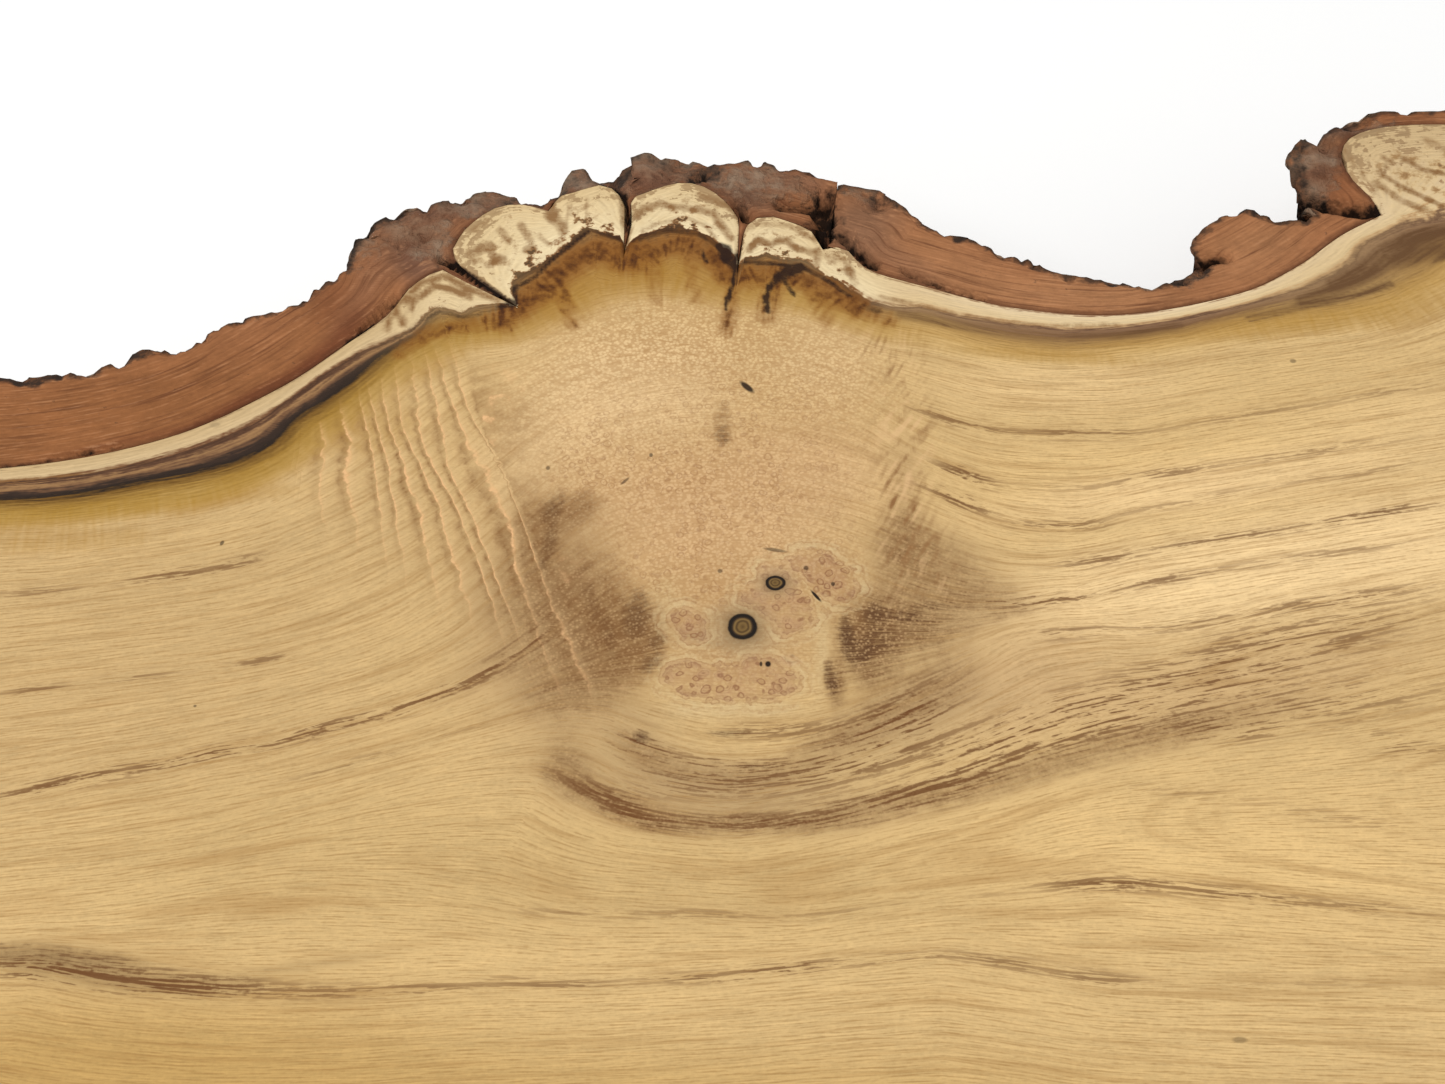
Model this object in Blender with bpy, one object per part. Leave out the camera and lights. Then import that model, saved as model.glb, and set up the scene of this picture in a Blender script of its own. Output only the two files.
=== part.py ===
# Live-edge black locust slab: a flat-sawn plank, planed on both faces, with the bark left on its
# two long edges. The far edge swells into a burl and, further right, into a second lump.
# Metres, +Z up. The slab lies on its lower face: X runs along the grain, +Y points to the burled
# edge, and the origin is under the middle of the slab.

import bmesh
import bpy
import numpy as np

MM = 0.001

# Driving dimensions
LENGTH = 720 * MM
THICKNESS = 50 * MM
BARK_SEAM = 0.3 * MM  # the dried-out cambium, a hairline between wood and bark
CLEAR_SHARE = 0.97  # a point of the bark this share of the seam away from the wood counts as clear
FLARE = 4 * MM  # the log's side leans out this far from the upper face to the lower one

# Bark relief: ridges run with the grain and lace into long diamonds
RIDGE_PITCH = 24 * MM  # from ridge to ridge, across the grain
RIDGE_RUN = 140 * MM  # length of one diamond
RIDGE_DEPTH = 7 * MM  # ridge top to furrow floor
RIDGE_SHARPNESS = 0.6
FURROW_SHARE = 0.5  # a furrow takes no more than this share of the bark that covers the wood
FAR_ROWS = 8  # facets from the upper face to the lower one
NEAR_ROWS = 8

# Spacing of the points that are read from each smooth line
FAR_STEP = 3.6 * MM
NEAR_STEP = 6 * MM

# On the burl the bark curls down, away from the planed face
BURL_MIDDLE = -12 * MM
BURL_HALF_WIDTH = 58 * MM
BURL_BARK_DROP = 5 * MM

# Places on the far edge where the bark is split or folded, and the relief is held back
HELD_BACK = ((29 * MM, 9 * MM), (154 * MM, 14 * MM))

# Outer line of the wood at the far edge, in mm on the upper face. Each list is one lobe, and
# neighbouring lobes meet in a crevice.
FAR_WOOD_LOBES = (
    (  # the left flank, sweeping up the burl
        (-360, 68), (-318, 64), (-268, 69), (-215, 75), (-169, 75), (-133, 84), (-108, 100),
        (-92, 116), (-83, 126), (-78, 136), (-71, 142), (-66.5, 139), (-50, 128),
    ),
    (  # first knuckle
        (-50, 128), (-64.6, 141.5), (-68.5, 149), (-66, 157), (-59, 165), (-52, 166.5), (-45, 164),
    ),
    (  # second knuckle
        (-45, 164), (-43, 169), (-38, 171.5), (-31, 174), (-27.3, 169), (-26, 160), (-25, 149),
    ),
    (  # third knuckle
        (-25, 149), (-22.6, 160), (-21.5, 169), (-13, 174.5), (-6, 174), (0, 168.5), (3.2, 160),
        (4, 144),
    ),
    (  # fourth knuckle
        (4, 144), (6.6, 157), (11, 162), (17, 160), (23, 156), (25.5, 149.5),
    ),
    (  # the right flank, down into the dip and up to the lump
        (25.5, 149.5), (31, 150), (37, 142), (51, 136), (72, 128.5), (99, 126), (128, 133),
        (145, 143), (158, 154.5), (170, 162.5),
    ),
    (  # the lump
        (170, 162.5), (168.5, 169), (164.5, 177), (163.5, 186), (168, 193.5), (179, 197.5),
        (196, 198), (216, 195), (236, 187), (254, 173), (270, 154), (288, 133), (310, 116),
        (336, 106), (360, 103),
    ),
)

# Outer line of the bark at the far edge, on the upper face
FAR_BARK_LINE = (
    (-360, 97), (-338, 93), (-314, 95), (-290, 92), (-262, 99), (-240, 104), (-222, 103),
    (-200, 106), (-175, 104), (-151, 107), (-143, 113), (-134, 114), (-121, 122), (-112, 128),
    (-106, 131), (-99, 139), (-93.5, 142), (-92, 151), (-85, 162), (-79, 168), (-73, 167.5),
    (-62, 171), (-55, 171), (-47, 167), (-38, 178.5), (-29, 178), (-20, 184), (-9, 181),
    (-3, 180), (8, 183), (20, 181), (27, 177.5), (28.5, 171), (24.8, 165), (25.2, 158),
    (28.2, 153.6), (31.6, 157), (32.4, 166), (30.6, 173), (38, 173.5), (45, 165), (52, 157.5),
    (61, 154), (67, 149.5), (77, 146), (84, 140.5), (96, 139), (107, 136), (113, 138),
    (120.5, 145), (119, 151.5), (126, 160), (135, 165.5), (143, 161), (153, 162), (150.5, 170),
    (149.5, 182), (153, 192), (161, 194.5), (170, 201), (184, 203.5), (203, 203), (224, 205),
    (243, 198), (262, 190), (279, 172), (296, 155), (314, 140), (333, 133), (347, 127),
    (360, 126),
)

# The near edge is a plain live edge: its wood line and its bark line
NEAR_WOOD_LINE = (
    (-360, -162), (-300, -157), (-236, -163), (-165, -171), (-90, -167), (-20, -159),
    (60, -162), (130, -172), (196, -175), (262, -167), (312, -163), (360, -166),
)
NEAR_BARK_LINE = (
    (-360, -188), (-331, -184), (-300, -186), (-268, -185), (-236, -191), (-205, -194),
    (-165, -197), (-131, -194), (-102, -195), (-72, -189), (-46, -188), (-18, -185), (16, -189),
    (60, -188), (92, -194), (130, -199), (162, -198), (196, -202), (230, -196), (262, -195),
    (290, -189), (326, -191), (360, -192),
)

# Finishes: base colour (linear), roughness
WOOD_FINISH = ((0.62, 0.42, 0.19), 0.5)
BARK_FINISH = ((0.20, 0.105, 0.055), 0.9)


def clear_scene():
    for thing in list(bpy.data.objects):
        bpy.data.objects.remove(thing)


def smooth_line(points_mm, step):
    """Points about step apart on a Catmull-Rom curve through points_mm, as an array in metres."""
    knots = np.array(points_mm, float) * MM
    before = 2 * knots[0] - knots[1]
    after = 2 * knots[-1] - knots[-2]
    padded = np.vstack([before, knots, after])
    dense = []
    share = np.linspace(0, 1, 24, endpoint=False)[:, None]
    for a, b, c, d in zip(padded, padded[1:], padded[2:], padded[3:]):
        dense.append(
            b
            + 0.5 * share * (c - a)
            + share**2 * (a - 2.5 * b + 2 * c - 0.5 * d)
            + share**3 * (1.5 * (b - c) + 0.5 * (d - a))
        )
    dense = np.vstack(dense + [knots[-1:]])
    run = run_along(dense)
    stops = np.linspace(0, run[-1], max(2, round(run[-1] / step) + 1))
    return np.column_stack([np.interp(stops, run, dense[:, axis]) for axis in (0, 1)])


def run_along(line):
    """Distance along a line at each of its points."""
    return np.concatenate([[0], np.cumsum(np.linalg.norm(np.diff(line, axis=0), axis=1))])


def joined_lobes(lobes, step):
    """The lobes as one line, each crevice between them kept as a corner."""
    lines = [smooth_line(lobe, step) for lobe in lobes]
    return np.vstack([lines[0]] + [line[1:] for line in lines[1:]])


def distance_to_line(points, line):
    """Shortest distance from each point to a line of straight segments."""
    start, span = line[:-1], np.diff(line, axis=0)
    offset = points[:, None] - start[None]
    share = np.clip((offset * span).sum(-1) / (span**2).sum(-1), 0, 1)
    return np.linalg.norm(offset - share[..., None] * span, axis=-1).min(axis=1)


def sawn_to_length(line):
    """The line with its first and last points on the slab's sawn ends."""
    line[[0, -1], 0] = -LENGTH / 2, LENGTH / 2
    return line


def line_beside(line, gap):
    """The line moved sideways by gap, to its left. It bridges the crevices that are too narrow."""
    span = np.diff(line, axis=0)
    left = np.column_stack([-span[:, 1], span[:, 0]]) / np.linalg.norm(span, axis=1)[:, None]
    sides = np.vstack([left[:1], left[:-1] + left[1:], left[-1:]])
    sides /= np.linalg.norm(sides, axis=1)[:, None]
    corner = np.concatenate([[1], np.clip((left[:-1] * sides[1:-1]).sum(1), 0.3, 1), [1]])
    moved = sawn_to_length(line + sides * (gap / corner)[:, None])
    return moved[distance_to_line(moved, line) > CLEAR_SHARE * abs(gap)]


def ridge_height(run, height):
    """How far the bark stands out at a place along the edge and a height above the lower face."""
    waver = 0.25 * np.sin(2 * np.pi * run / 0.063) + 0.15 * np.sin(2 * np.pi * run / 0.037 + 1.3)
    across = height / RIDGE_PITCH
    along = run / RIDGE_RUN
    rising = np.abs(np.sin(np.pi * (across + along + waver)))
    falling = np.abs(np.sin(np.pi * (across - along + 0.5 * waver)))
    return RIDGE_DEPTH * np.minimum(rising, falling) ** RIDGE_SHARPNESS


def held_back(x):
    """1 where the relief is full, 0 at a split or a fold in the bark."""
    share = 1.0
    for middle, half_width in HELD_BACK:
        share *= 1 - np.exp(-(((x - middle) / half_width) ** 2))
    return share


def burl_drop(x):
    """How far the outer edge of the bark lies below the planed face."""
    return BURL_BARK_DROP * np.exp(-(((x - BURL_MIDDLE) / BURL_HALF_WIDTH) ** 4))


def finish_material(name, finish):
    material = bpy.data.materials.new(name)
    material.use_nodes = True
    shader = material.node_tree.nodes["Principled BSDF"]
    colour, roughness = finish
    shader.inputs["Base Color"].default_value = (*colour, 1)
    shader.inputs["Roughness"].default_value = roughness
    shader.inputs["Metallic"].default_value = 0
    return material


def add_object(name, bm, material):
    bmesh.ops.triangulate(bm, faces=bm.faces[:], ngon_method="EAR_CLIP")
    bmesh.ops.recalc_face_normals(bm, faces=bm.faces[:])
    mesh = bpy.data.meshes.new(name)
    bm.to_mesh(mesh)
    bm.free()
    mesh.materials.append(material)
    thing = bpy.data.objects.new(name, mesh)
    bpy.context.scene.collection.objects.link(thing)
    return thing


def upper_face(bm, outline):
    """One flat face through the outline, at the height of the planed face."""
    verts = [bm.verts.new((x, y, THICKNESS)) for x, y in outline]
    return bm.faces.new(verts)


def extruded_down(bm, face):
    """Extrudes the upper face to the lower one and returns the new vertices."""
    made = bmesh.ops.extrude_face_region(bm, geom=[face], use_keep_orig=True)["geom"]
    verts = [part for part in made if isinstance(part, bmesh.types.BMVert)]
    bmesh.ops.translate(bm, verts=verts, vec=(0, 0, -THICKNESS))
    return verts


def add_wood(far_line, near_line, material):
    """The board: one closed solid from cambium to cambium."""
    bm = bmesh.new()
    face = upper_face(bm, np.vstack([far_line, near_line[::-1]]))
    middle = 0.5 * (far_line[:, 1].min() + near_line[:, 1].max())
    for vert in extruded_down(bm, face):
        vert.co.y += FLARE if vert.co.y > middle else -FLARE
    return add_object("slab_wood", bm, material)


def add_bark(name, inner_line, outer_line, rows, side, material):
    """A strip of bark. side is +1 on the far edge and -1 on the near one."""
    bm = bmesh.new()
    run_layer = bm.verts.layers.float.new("run")
    cover_layer = bm.verts.layers.float.new("cover")
    face = upper_face(bm, np.vstack([outer_line, inner_line[::-1]]))
    run = run_along(outer_line)
    cover = distance_to_line(outer_line, inner_line)
    for index, vert in enumerate(face.verts):
        outer = index < len(run)
        vert[run_layer] = run[index] if outer else -1
        vert[cover_layer] = cover[index] if outer else 0
    extruded_down(bm, face)
    uprights = [
        edge
        for edge in bm.edges
        if edge.verts[0][run_layer] >= 0
        and abs(edge.verts[0].co.z - edge.verts[1].co.z) > 0.5 * THICKNESS
    ]
    bmesh.ops.subdivide_edges(bm, edges=uprights, cuts=rows - 1)
    bmesh.ops.triangulate(bm, faces=[f for f in bm.faces if len(f.verts) > 4])
    for vert in bm.verts:
        x, y, z = vert.co
        lean = side * FLARE * (1 - z / THICKNESS)
        if vert[run_layer] >= 0:
            relief = ridge_height(vert[run_layer], z) - ridge_height(vert[run_layer], THICKNESS)
            if side > 0:
                relief *= held_back(x)
                vert.co.z = z * (1 - burl_drop(x) / THICKNESS)
            lean += side * max(relief, -FURROW_SHARE * vert[cover_layer])
        vert.co.y = y + lean
    return add_object(name, bm, material)


def main():
    clear_scene()
    wood = finish_material("planed black locust", WOOD_FINISH)
    bark = finish_material("black locust bark", BARK_FINISH)
    far_wood = sawn_to_length(joined_lobes(FAR_WOOD_LOBES, FAR_STEP))
    far_bark = sawn_to_length(smooth_line(FAR_BARK_LINE, FAR_STEP))
    near_wood = sawn_to_length(smooth_line(NEAR_WOOD_LINE, NEAR_STEP))
    near_bark = sawn_to_length(smooth_line(NEAR_BARK_LINE, NEAR_STEP))
    add_wood(far_wood, near_wood, wood)
    add_bark("bark_far_edge", line_beside(far_wood, BARK_SEAM), far_bark, FAR_ROWS, 1, bark)
    add_bark("bark_near_edge", line_beside(near_wood, -BARK_SEAM), near_bark, NEAR_ROWS, -1, bark)


main()
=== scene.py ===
# Live-edge slab of black locust: the looks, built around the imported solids.
# A planed board with a burl on its far edge, cream sapwood under the bark, and bark on both edges.
import math

import bmesh
import bpy
import numpy as np
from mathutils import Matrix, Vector, noise


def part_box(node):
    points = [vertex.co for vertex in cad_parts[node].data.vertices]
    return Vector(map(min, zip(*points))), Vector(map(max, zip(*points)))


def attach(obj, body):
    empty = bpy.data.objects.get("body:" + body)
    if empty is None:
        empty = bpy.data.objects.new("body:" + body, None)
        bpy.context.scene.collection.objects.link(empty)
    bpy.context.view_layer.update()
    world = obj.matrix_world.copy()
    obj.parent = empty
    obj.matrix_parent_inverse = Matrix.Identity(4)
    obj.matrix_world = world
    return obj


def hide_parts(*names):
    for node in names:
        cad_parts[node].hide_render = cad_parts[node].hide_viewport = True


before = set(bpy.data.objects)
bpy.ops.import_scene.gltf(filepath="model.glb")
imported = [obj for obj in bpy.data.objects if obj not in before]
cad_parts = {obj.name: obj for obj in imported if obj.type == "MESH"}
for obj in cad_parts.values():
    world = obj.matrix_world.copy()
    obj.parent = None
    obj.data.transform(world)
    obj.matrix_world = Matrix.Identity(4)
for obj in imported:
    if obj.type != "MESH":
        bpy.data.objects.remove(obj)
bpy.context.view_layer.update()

mm = 0.001
boardLow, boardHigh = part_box("slab_wood")
top = boardHigh.z  # height of the planed face

# How the photograph was taken. Places on the planed face are named by its pixels, 1445 x 1084.
view = {
    "width": 1445,
    "middle": (722.5, 542.0),
    "lensPixels": 2400.0,
    "tilt": 50.0,  # degrees the camera looks down
    "height": 420 * mm,  # above the planed face
    "footY": -300 * mm,
}


# Place on the planed face, in metres, that shows at a pixel
def onFace(px, py):
    tilt = math.radians(view["tilt"])
    rise = (view["middle"][1] - np.asarray(py, float)) / view["lensPixels"]
    reach = view["height"] / (math.sin(tilt) - math.cos(tilt) * rise)
    x = reach * (np.asarray(px, float) - view["middle"][0]) / view["lensPixels"]
    y = reach * (math.cos(tilt) + math.sin(tilt) * rise) + view["footY"]
    return np.stack([x, y], -1)


# Pixel at which a place on the planed face shows
def inPhoto(x, y):
    tilt = math.radians(view["tilt"])
    ahead = (y - view["footY"]) * math.cos(tilt) + view["height"] * math.sin(tilt)
    rise = (y - view["footY"]) * math.sin(tilt) - view["height"] * math.cos(tilt)
    px = view["middle"][0] + view["lensPixels"] * x / ahead
    py = view["middle"][1] - view["lensPixels"] * rise / ahead
    return px, py


# Camera, floor and light

studio = {
    "floorColour": "#fbfbfa",
    "floorGlow": 0.12,
    "floorHalf": 3.0,
    "skyStrength": 0.62,
    "lampPlace": (-0.7, -0.5, 1.6),
    "lampSize": 1.4,
    "lampPower": 17.0,
}


# An sRGB hex colour as linear values
def linear(hexColour, alpha=1.0):
    channels = [int(hexColour[i : i + 2], 16) / 255 for i in (1, 3, 5)]
    return [c / 12.92 if c <= 0.04045 else ((c + 0.055) / 1.055) ** 2.4 for c in channels] + [alpha]


# Adds one node, with its sockets' values or links, its ramp stops and its other settings
def addNode(tree, kind, inputs=None, stops=None, **settings):
    node = tree.nodes.new(kind)
    for name, value in settings.items():
        setattr(node, name, value)
    for name, value in (inputs or {}).items():
        if isinstance(value, bpy.types.NodeSocket):
            tree.links.new(value, node.inputs[name])
        else:
            node.inputs[name].default_value = value
    for index, (place, colour) in enumerate(stops or ()):
        ramp = node.color_ramp.elements
        stop = ramp[index] if index < 2 else ramp.new(place)
        stop.position = place
        stop.color = colour
    return node.outputs


# A value moved up and down by patterns that lie round 0.5, each by its strength
def swayed(tree, value, patterns, strengths):
    for name, strength in strengths.items():
        share = addNode(tree, "ShaderNodeMath", {0: patterns[name], 1: 0.5}, operation="SUBTRACT")[0]
        value = addNode(
            tree, "ShaderNodeMath", {0: share, 1: strength, 2: value}, operation="MULTIPLY_ADD"
        )[0]
    return value


# A value multiplied by each of the factors
def scaledBy(tree, value, *factors):
    for factor in factors:
        value = addNode(tree, "ShaderNodeMath", {0: value, 1: factor}, operation="MULTIPLY")[0]
    return value


def newMaterial(name):
    material = bpy.data.materials.new(name)
    material.use_nodes = True
    material.node_tree.nodes.clear()
    return material, material.node_tree


def addStudio():
    scene = bpy.context.scene
    scene.view_settings.view_transform = "Standard"
    camera = bpy.data.objects.new("camera", bpy.data.cameras.new("camera"))
    camera.location = (0, view["footY"], top + view["height"])
    camera.rotation_euler = (math.radians(90 - view["tilt"]), 0, 0)
    camera.data.sensor_width = 36
    camera.data.lens = 36 * view["lensPixels"] / view["width"]
    camera.data.clip_start = 0.01
    scene.collection.objects.link(camera)
    scene.camera = camera

    world = bpy.data.worlds.new("studio")
    world.use_nodes = True
    world.node_tree.nodes["Background"].inputs["Color"].default_value = (1, 1, 1, 1)
    world.node_tree.nodes["Background"].inputs["Strength"].default_value = studio["skyStrength"]
    scene.world = world

    lamp = bpy.data.objects.new("softbox", bpy.data.lights.new("softbox", "AREA"))
    lamp.location = studio["lampPlace"]
    lamp.rotation_euler = (Vector((0, 0, 0)) - lamp.location).to_track_quat("-Z", "Y").to_euler()
    lamp.data.shape = "DISK"
    lamp.data.size = studio["lampSize"]
    lamp.data.energy = studio["lampPower"]
    scene.collection.objects.link(lamp)

    bm = bmesh.new()
    bmesh.ops.create_grid(bm, x_segments=1, y_segments=1, size=studio["floorHalf"])
    mesh = bpy.data.meshes.new("floor")
    bm.to_mesh(mesh)
    bm.free()
    floor = bpy.data.objects.new("floor", mesh)
    scene.collection.objects.link(floor)
    # Matt white card
    material, tree = newMaterial("white card")
    shader = addNode(
        tree,
        "ShaderNodeBsdfPrincipled",
        {
            "Base Color": linear(studio["floorColour"]),
            "Roughness": 0.9,
            "Specular IOR Level": 0.1,
            "Emission Color": linear(studio["floorColour"]),
            "Emission Strength": studio["floorGlow"],
        },
    )
    addNode(tree, "ShaderNodeOutputMaterial", {"Surface": shader[0]})
    mesh.materials.append(material)


addStudio()
print("studio ready")


# Lines and distances in the plane of the board


# A smooth curve through the points, with a point every step
def smoothLine(points, step):
    knots = np.asarray(points, float)
    padded = np.vstack([2 * knots[0] - knots[1], knots, 2 * knots[-1] - knots[-2]])
    share = np.linspace(0, 1, 12, endpoint=False)[:, None]
    dense = []
    for a, b, c, d in zip(padded, padded[1:], padded[2:], padded[3:]):
        bend = share**2 * (a - 2.5 * b + 2 * c - 0.5 * d) + share**3 * (1.5 * (b - c) + 0.5 * (d - a))
        dense.append(b + 0.5 * share * (c - a) + bend)
    dense = np.vstack(dense + [knots[-1:]])
    run = np.concatenate([[0], np.cumsum(np.linalg.norm(np.diff(dense, axis=0), axis=1))])
    stops = np.linspace(0, run[-1], max(2, round(run[-1] / step) + 1))
    return np.column_stack([np.interp(stops, run, dense[:, axis]) for axis in (0, 1)])


# Distance from each point to a line, the vector that leads to it from the line, and the
# line's direction there
def nearestOn(points, line):
    nearest = np.full(len(points), np.inf)
    away = np.zeros((len(points), 2))
    ahead = np.zeros((len(points), 2))
    for start, end in zip(line[:-1], line[1:]):
        span = end - start
        offset = points - start
        share = np.clip((offset @ span) / (span @ span), 0, 1)
        offset = offset - share[:, None] * span
        gap = np.hypot(*offset.T)
        closer = gap < nearest
        nearest[closer] = gap[closer]
        away[closer] = offset[closer]
        ahead[closer] = span / np.hypot(*span)
    return nearest, away, ahead


def isInside(points, loop):
    inside = np.zeros(len(points), bool)
    x, y = points.T
    for (x0, y0), (x1, y1) in zip(loop, np.roll(loop, -1, axis=0)):
        if y0 != y1:
            crosses = (y0 > y) != (y1 > y)
            inside ^= crosses & (x < (x1 - x0) * (y - y0) / (y1 - y0) + x0)
    return inside


# True for the points on the +Y side of a line that runs from left to right
def isBeyond(points, line):
    far = 5.0
    (x0, y0), (x1, y1) = line[0], line[-1]
    corners = [[x1 + far, y1], [x1 + far, far], [x0 - far, far], [x0 - far, y0]]
    return isInside(points, np.vstack([line, corners]))


# Soft-edged ovals laid over each other: middle, half length and half width in pixels,
# turn in degrees (a rise to the right is negative) and strength
def softSpots(px, py, spots):
    bare = np.ones(len(px))
    for x, y, long, wide, turn, strength in spots:
        c, s = math.cos(math.radians(turn)), math.sin(math.radians(turn))
        along = ((px - x) * c + (py - y) * s) / long
        across = ((py - y) * c - (px - x) * s) / wide
        bare *= 1 - strength * np.exp(-((along**2 + across**2) ** 1.4))
    return 1 - bare


# Soft-edged strokes: half width in pixels, strength, and the pixels that the stroke runs through
def softStrokes(px, py, strokes):
    bare = np.ones(len(px))
    points = np.column_stack([px, py])
    for half, strength, *line in strokes:
        gap = nearestOn(points, np.array(line, float))[0]
        bare *= 1 - strength * np.exp(-((gap / half) ** 2.8))
    return 1 - bare


# The board

# Lines that the growth rings follow on the planed face, from the bark inwards: the depth
# below the bark that each one stands for, in mm, and its pixels from left to right
ringLines = {
    "sapwoodInner": (5, (
        (0, 483), (46, 479), (100, 471), (140, 463), (170, 455), (200, 445), (240, 429),
        (275, 409), (298, 393), (321, 375), (344, 361), (362, 351), (384, 343), (402, 335),
        (416, 327), (431, 308), (446, 307), (463, 314), (471, 307), (483, 305), (500, 303),
        (517, 304), (516, 298), (511, 293), (511, 284), (519, 279), (527, 272), (540, 267),
        (549, 257), (559, 252), (569, 242), (580, 234), (590, 227), (607, 233), (619, 235),
        (624, 247), (631, 242), (642, 234), (671, 227), (699, 230), (715, 240), (734, 257),
        (737, 259), (744, 257), (759, 255), (764, 250), (770, 255), (799, 259), (810, 264),
        (824, 275), (840, 280), (851, 290), (868, 301), (884, 305), (901, 309), (921, 308),
        (947, 314), (968, 318), (990, 321), (1012, 325), (1040, 327), (1066, 330), (1098, 329),
        (1120, 327), (1142, 325), (1164, 322), (1185, 319), (1200, 315), (1220, 311),
        (1251, 303), (1280, 294), (1305, 286), (1324, 277), (1338, 270), (1351, 261),
        (1362, 244), (1378, 235), (1396, 226), (1414, 221), (1445, 218),
    )),
    "stainInner": (10, (
        (0, 501), (46, 499), (100, 492), (140, 484), (200, 473), (240, 462), (275, 444),
        (298, 418), (321, 405), (344, 389), (360, 377), (384, 355), (404, 341), (419, 333),
        (427, 324), (435, 314), (446, 312), (454, 314), (463, 319), (471, 312), (483, 310),
        (500, 308), (511, 307), (520, 309), (523, 300), (518, 293), (519, 286), (526, 281),
        (533, 275), (542, 271), (553, 262), (563, 256), (573, 247), (583, 239), (591, 233),
        (597, 235), (607, 239), (618, 241), (624, 253), (631, 248), (642, 240), (654, 235),
        (671, 233), (686, 234), (699, 236), (709, 242), (715, 247), (734, 265), (737, 267),
        (745, 264), (759, 262), (764, 257), (769, 262), (784, 264), (799, 267), (810, 272),
        (820, 278), (837, 286), (848, 297), (868, 308), (879, 310), (901, 314), (925, 318),
        (947, 324), (968, 332), (990, 337), (1012, 341), (1040, 344), (1066, 346), (1098, 344),
        (1120, 341), (1142, 339), (1164, 335), (1185, 332), (1200, 328), (1233, 319),
        (1269, 312), (1305, 306), (1342, 301), (1378, 292), (1405, 279), (1425, 270),
        (1445, 254),
    )),
    "goldInner": (19, (
        (0, 530), (60, 529), (140, 519), (210, 507), (262, 490), (310, 462), (350, 432),
        (392, 395), (430, 368), (470, 352), (520, 345), (570, 318), (620, 300), (680, 296),
        (735, 312), (790, 316), (840, 330), (880, 345), (930, 352), (980, 362), (1030, 368),
        (1090, 369), (1150, 363), (1210, 352), (1280, 342), (1350, 333), (1400, 320),
        (1445, 300),
    )),
    "ringA": (38, (
        (0, 596), (54, 591), (139, 580), (201, 571), (268, 556), (330, 534), (390, 506),
        (450, 466), (510, 420), (570, 383), (640, 362), (720, 353), (790, 356), (850, 371),
        (890, 394), (930, 412), (995, 429), (1084, 433), (1140, 432), (1220, 419), (1300, 407),
        (1445, 381),
    )),
    "ringB": (50, (
        (0, 645), (80, 636), (160, 626), (240, 613), (320, 590), (390, 560), (450, 522),
        (510, 472), (570, 430), (640, 405), (720, 396), (790, 399), (850, 415), (895, 443),
        (936, 464), (983, 481), (1030, 487), (1098, 487), (1169, 473), (1300, 453), (1445, 433),
    )),
    "ringC": (62, (
        (0, 693), (21, 690), (86, 683), (142, 677), (195, 671), (241, 665), (289, 655),
        (350, 638), (410, 612), (465, 575), (520, 524), (580, 477), (650, 452), (720, 444),
        (790, 447), (850, 462), (900, 478), (936, 492), (983, 511), (1030, 523), (1084, 525),
        (1129, 512), (1211, 498), (1300, 482), (1445, 458),
    )),
    "ringD": (75, (
        (0, 742), (80, 732), (160, 718), (240, 704), (320, 685), (390, 664), (450, 635),
        (505, 592), (560, 545), (620, 512), (690, 497), (760, 495), (830, 505), (890, 525),
        (950, 550), (1000, 566), (1056, 567), (1112, 558), (1169, 547), (1300, 526),
        (1445, 503),
    )),
    "ringE": (88, (
        (0, 796), (54, 784), (99, 773), (161, 765), (214, 752), (268, 744), (321, 729),
        (375, 717), (420, 702), (470, 682), (520, 655), (560, 625), (600, 590), (650, 562),
        (720, 550), (790, 552), (850, 572), (900, 592), (950, 606), (1009, 607), (1056, 598),
        (1090, 597), (1140, 584), (1200, 574), (1300, 558), (1445, 537),
    )),
    "ringF": (99, (
        (0, 828), (100, 815), (200, 798), (295, 779), (335, 769), (420, 745), (500, 722),
        (560, 706), (610, 708), (650, 722), (700, 737), (745, 741), (790, 738), (840, 725),
        (890, 705), (940, 680), (980, 658), (1020, 637), (1093, 628), (1140, 630), (1211, 621),
        (1300, 602), (1369, 592), (1445, 578),
    )),
    "ringG": (112, (
        (0, 862), (100, 852), (200, 838), (300, 815), (400, 790), (480, 776), (543, 775),
        (584, 799), (622, 814), (673, 824), (737, 829), (801, 819), (864, 806), (920, 790),
        (966, 778), (1040, 752), (1110, 732), (1190, 712), (1270, 695), (1350, 678),
        (1445, 656),
    )),
    "ringH": (119, (
        (0, 915), (100, 905), (200, 890), (300, 880), (400, 884), (480, 893), (560, 908),
        (630, 912), (700, 914), (795, 918), (860, 910), (928, 901), (1032, 890), (1113, 882),
        (1222, 892), (1332, 904), (1445, 915),
    )),
    "ringI": (112, (
        (0, 966), (36, 966), (89, 976), (143, 983), (229, 990), (304, 991), (375, 990),
        (464, 985), (560, 984), (616, 982), (700, 977), (756, 972), (814, 966), (869, 961),
        (937, 956), (985, 961), (1032, 968), (1080, 976), (1127, 980), (1241, 983),
        (1369, 984), (1445, 985),
    )),
}

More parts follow.
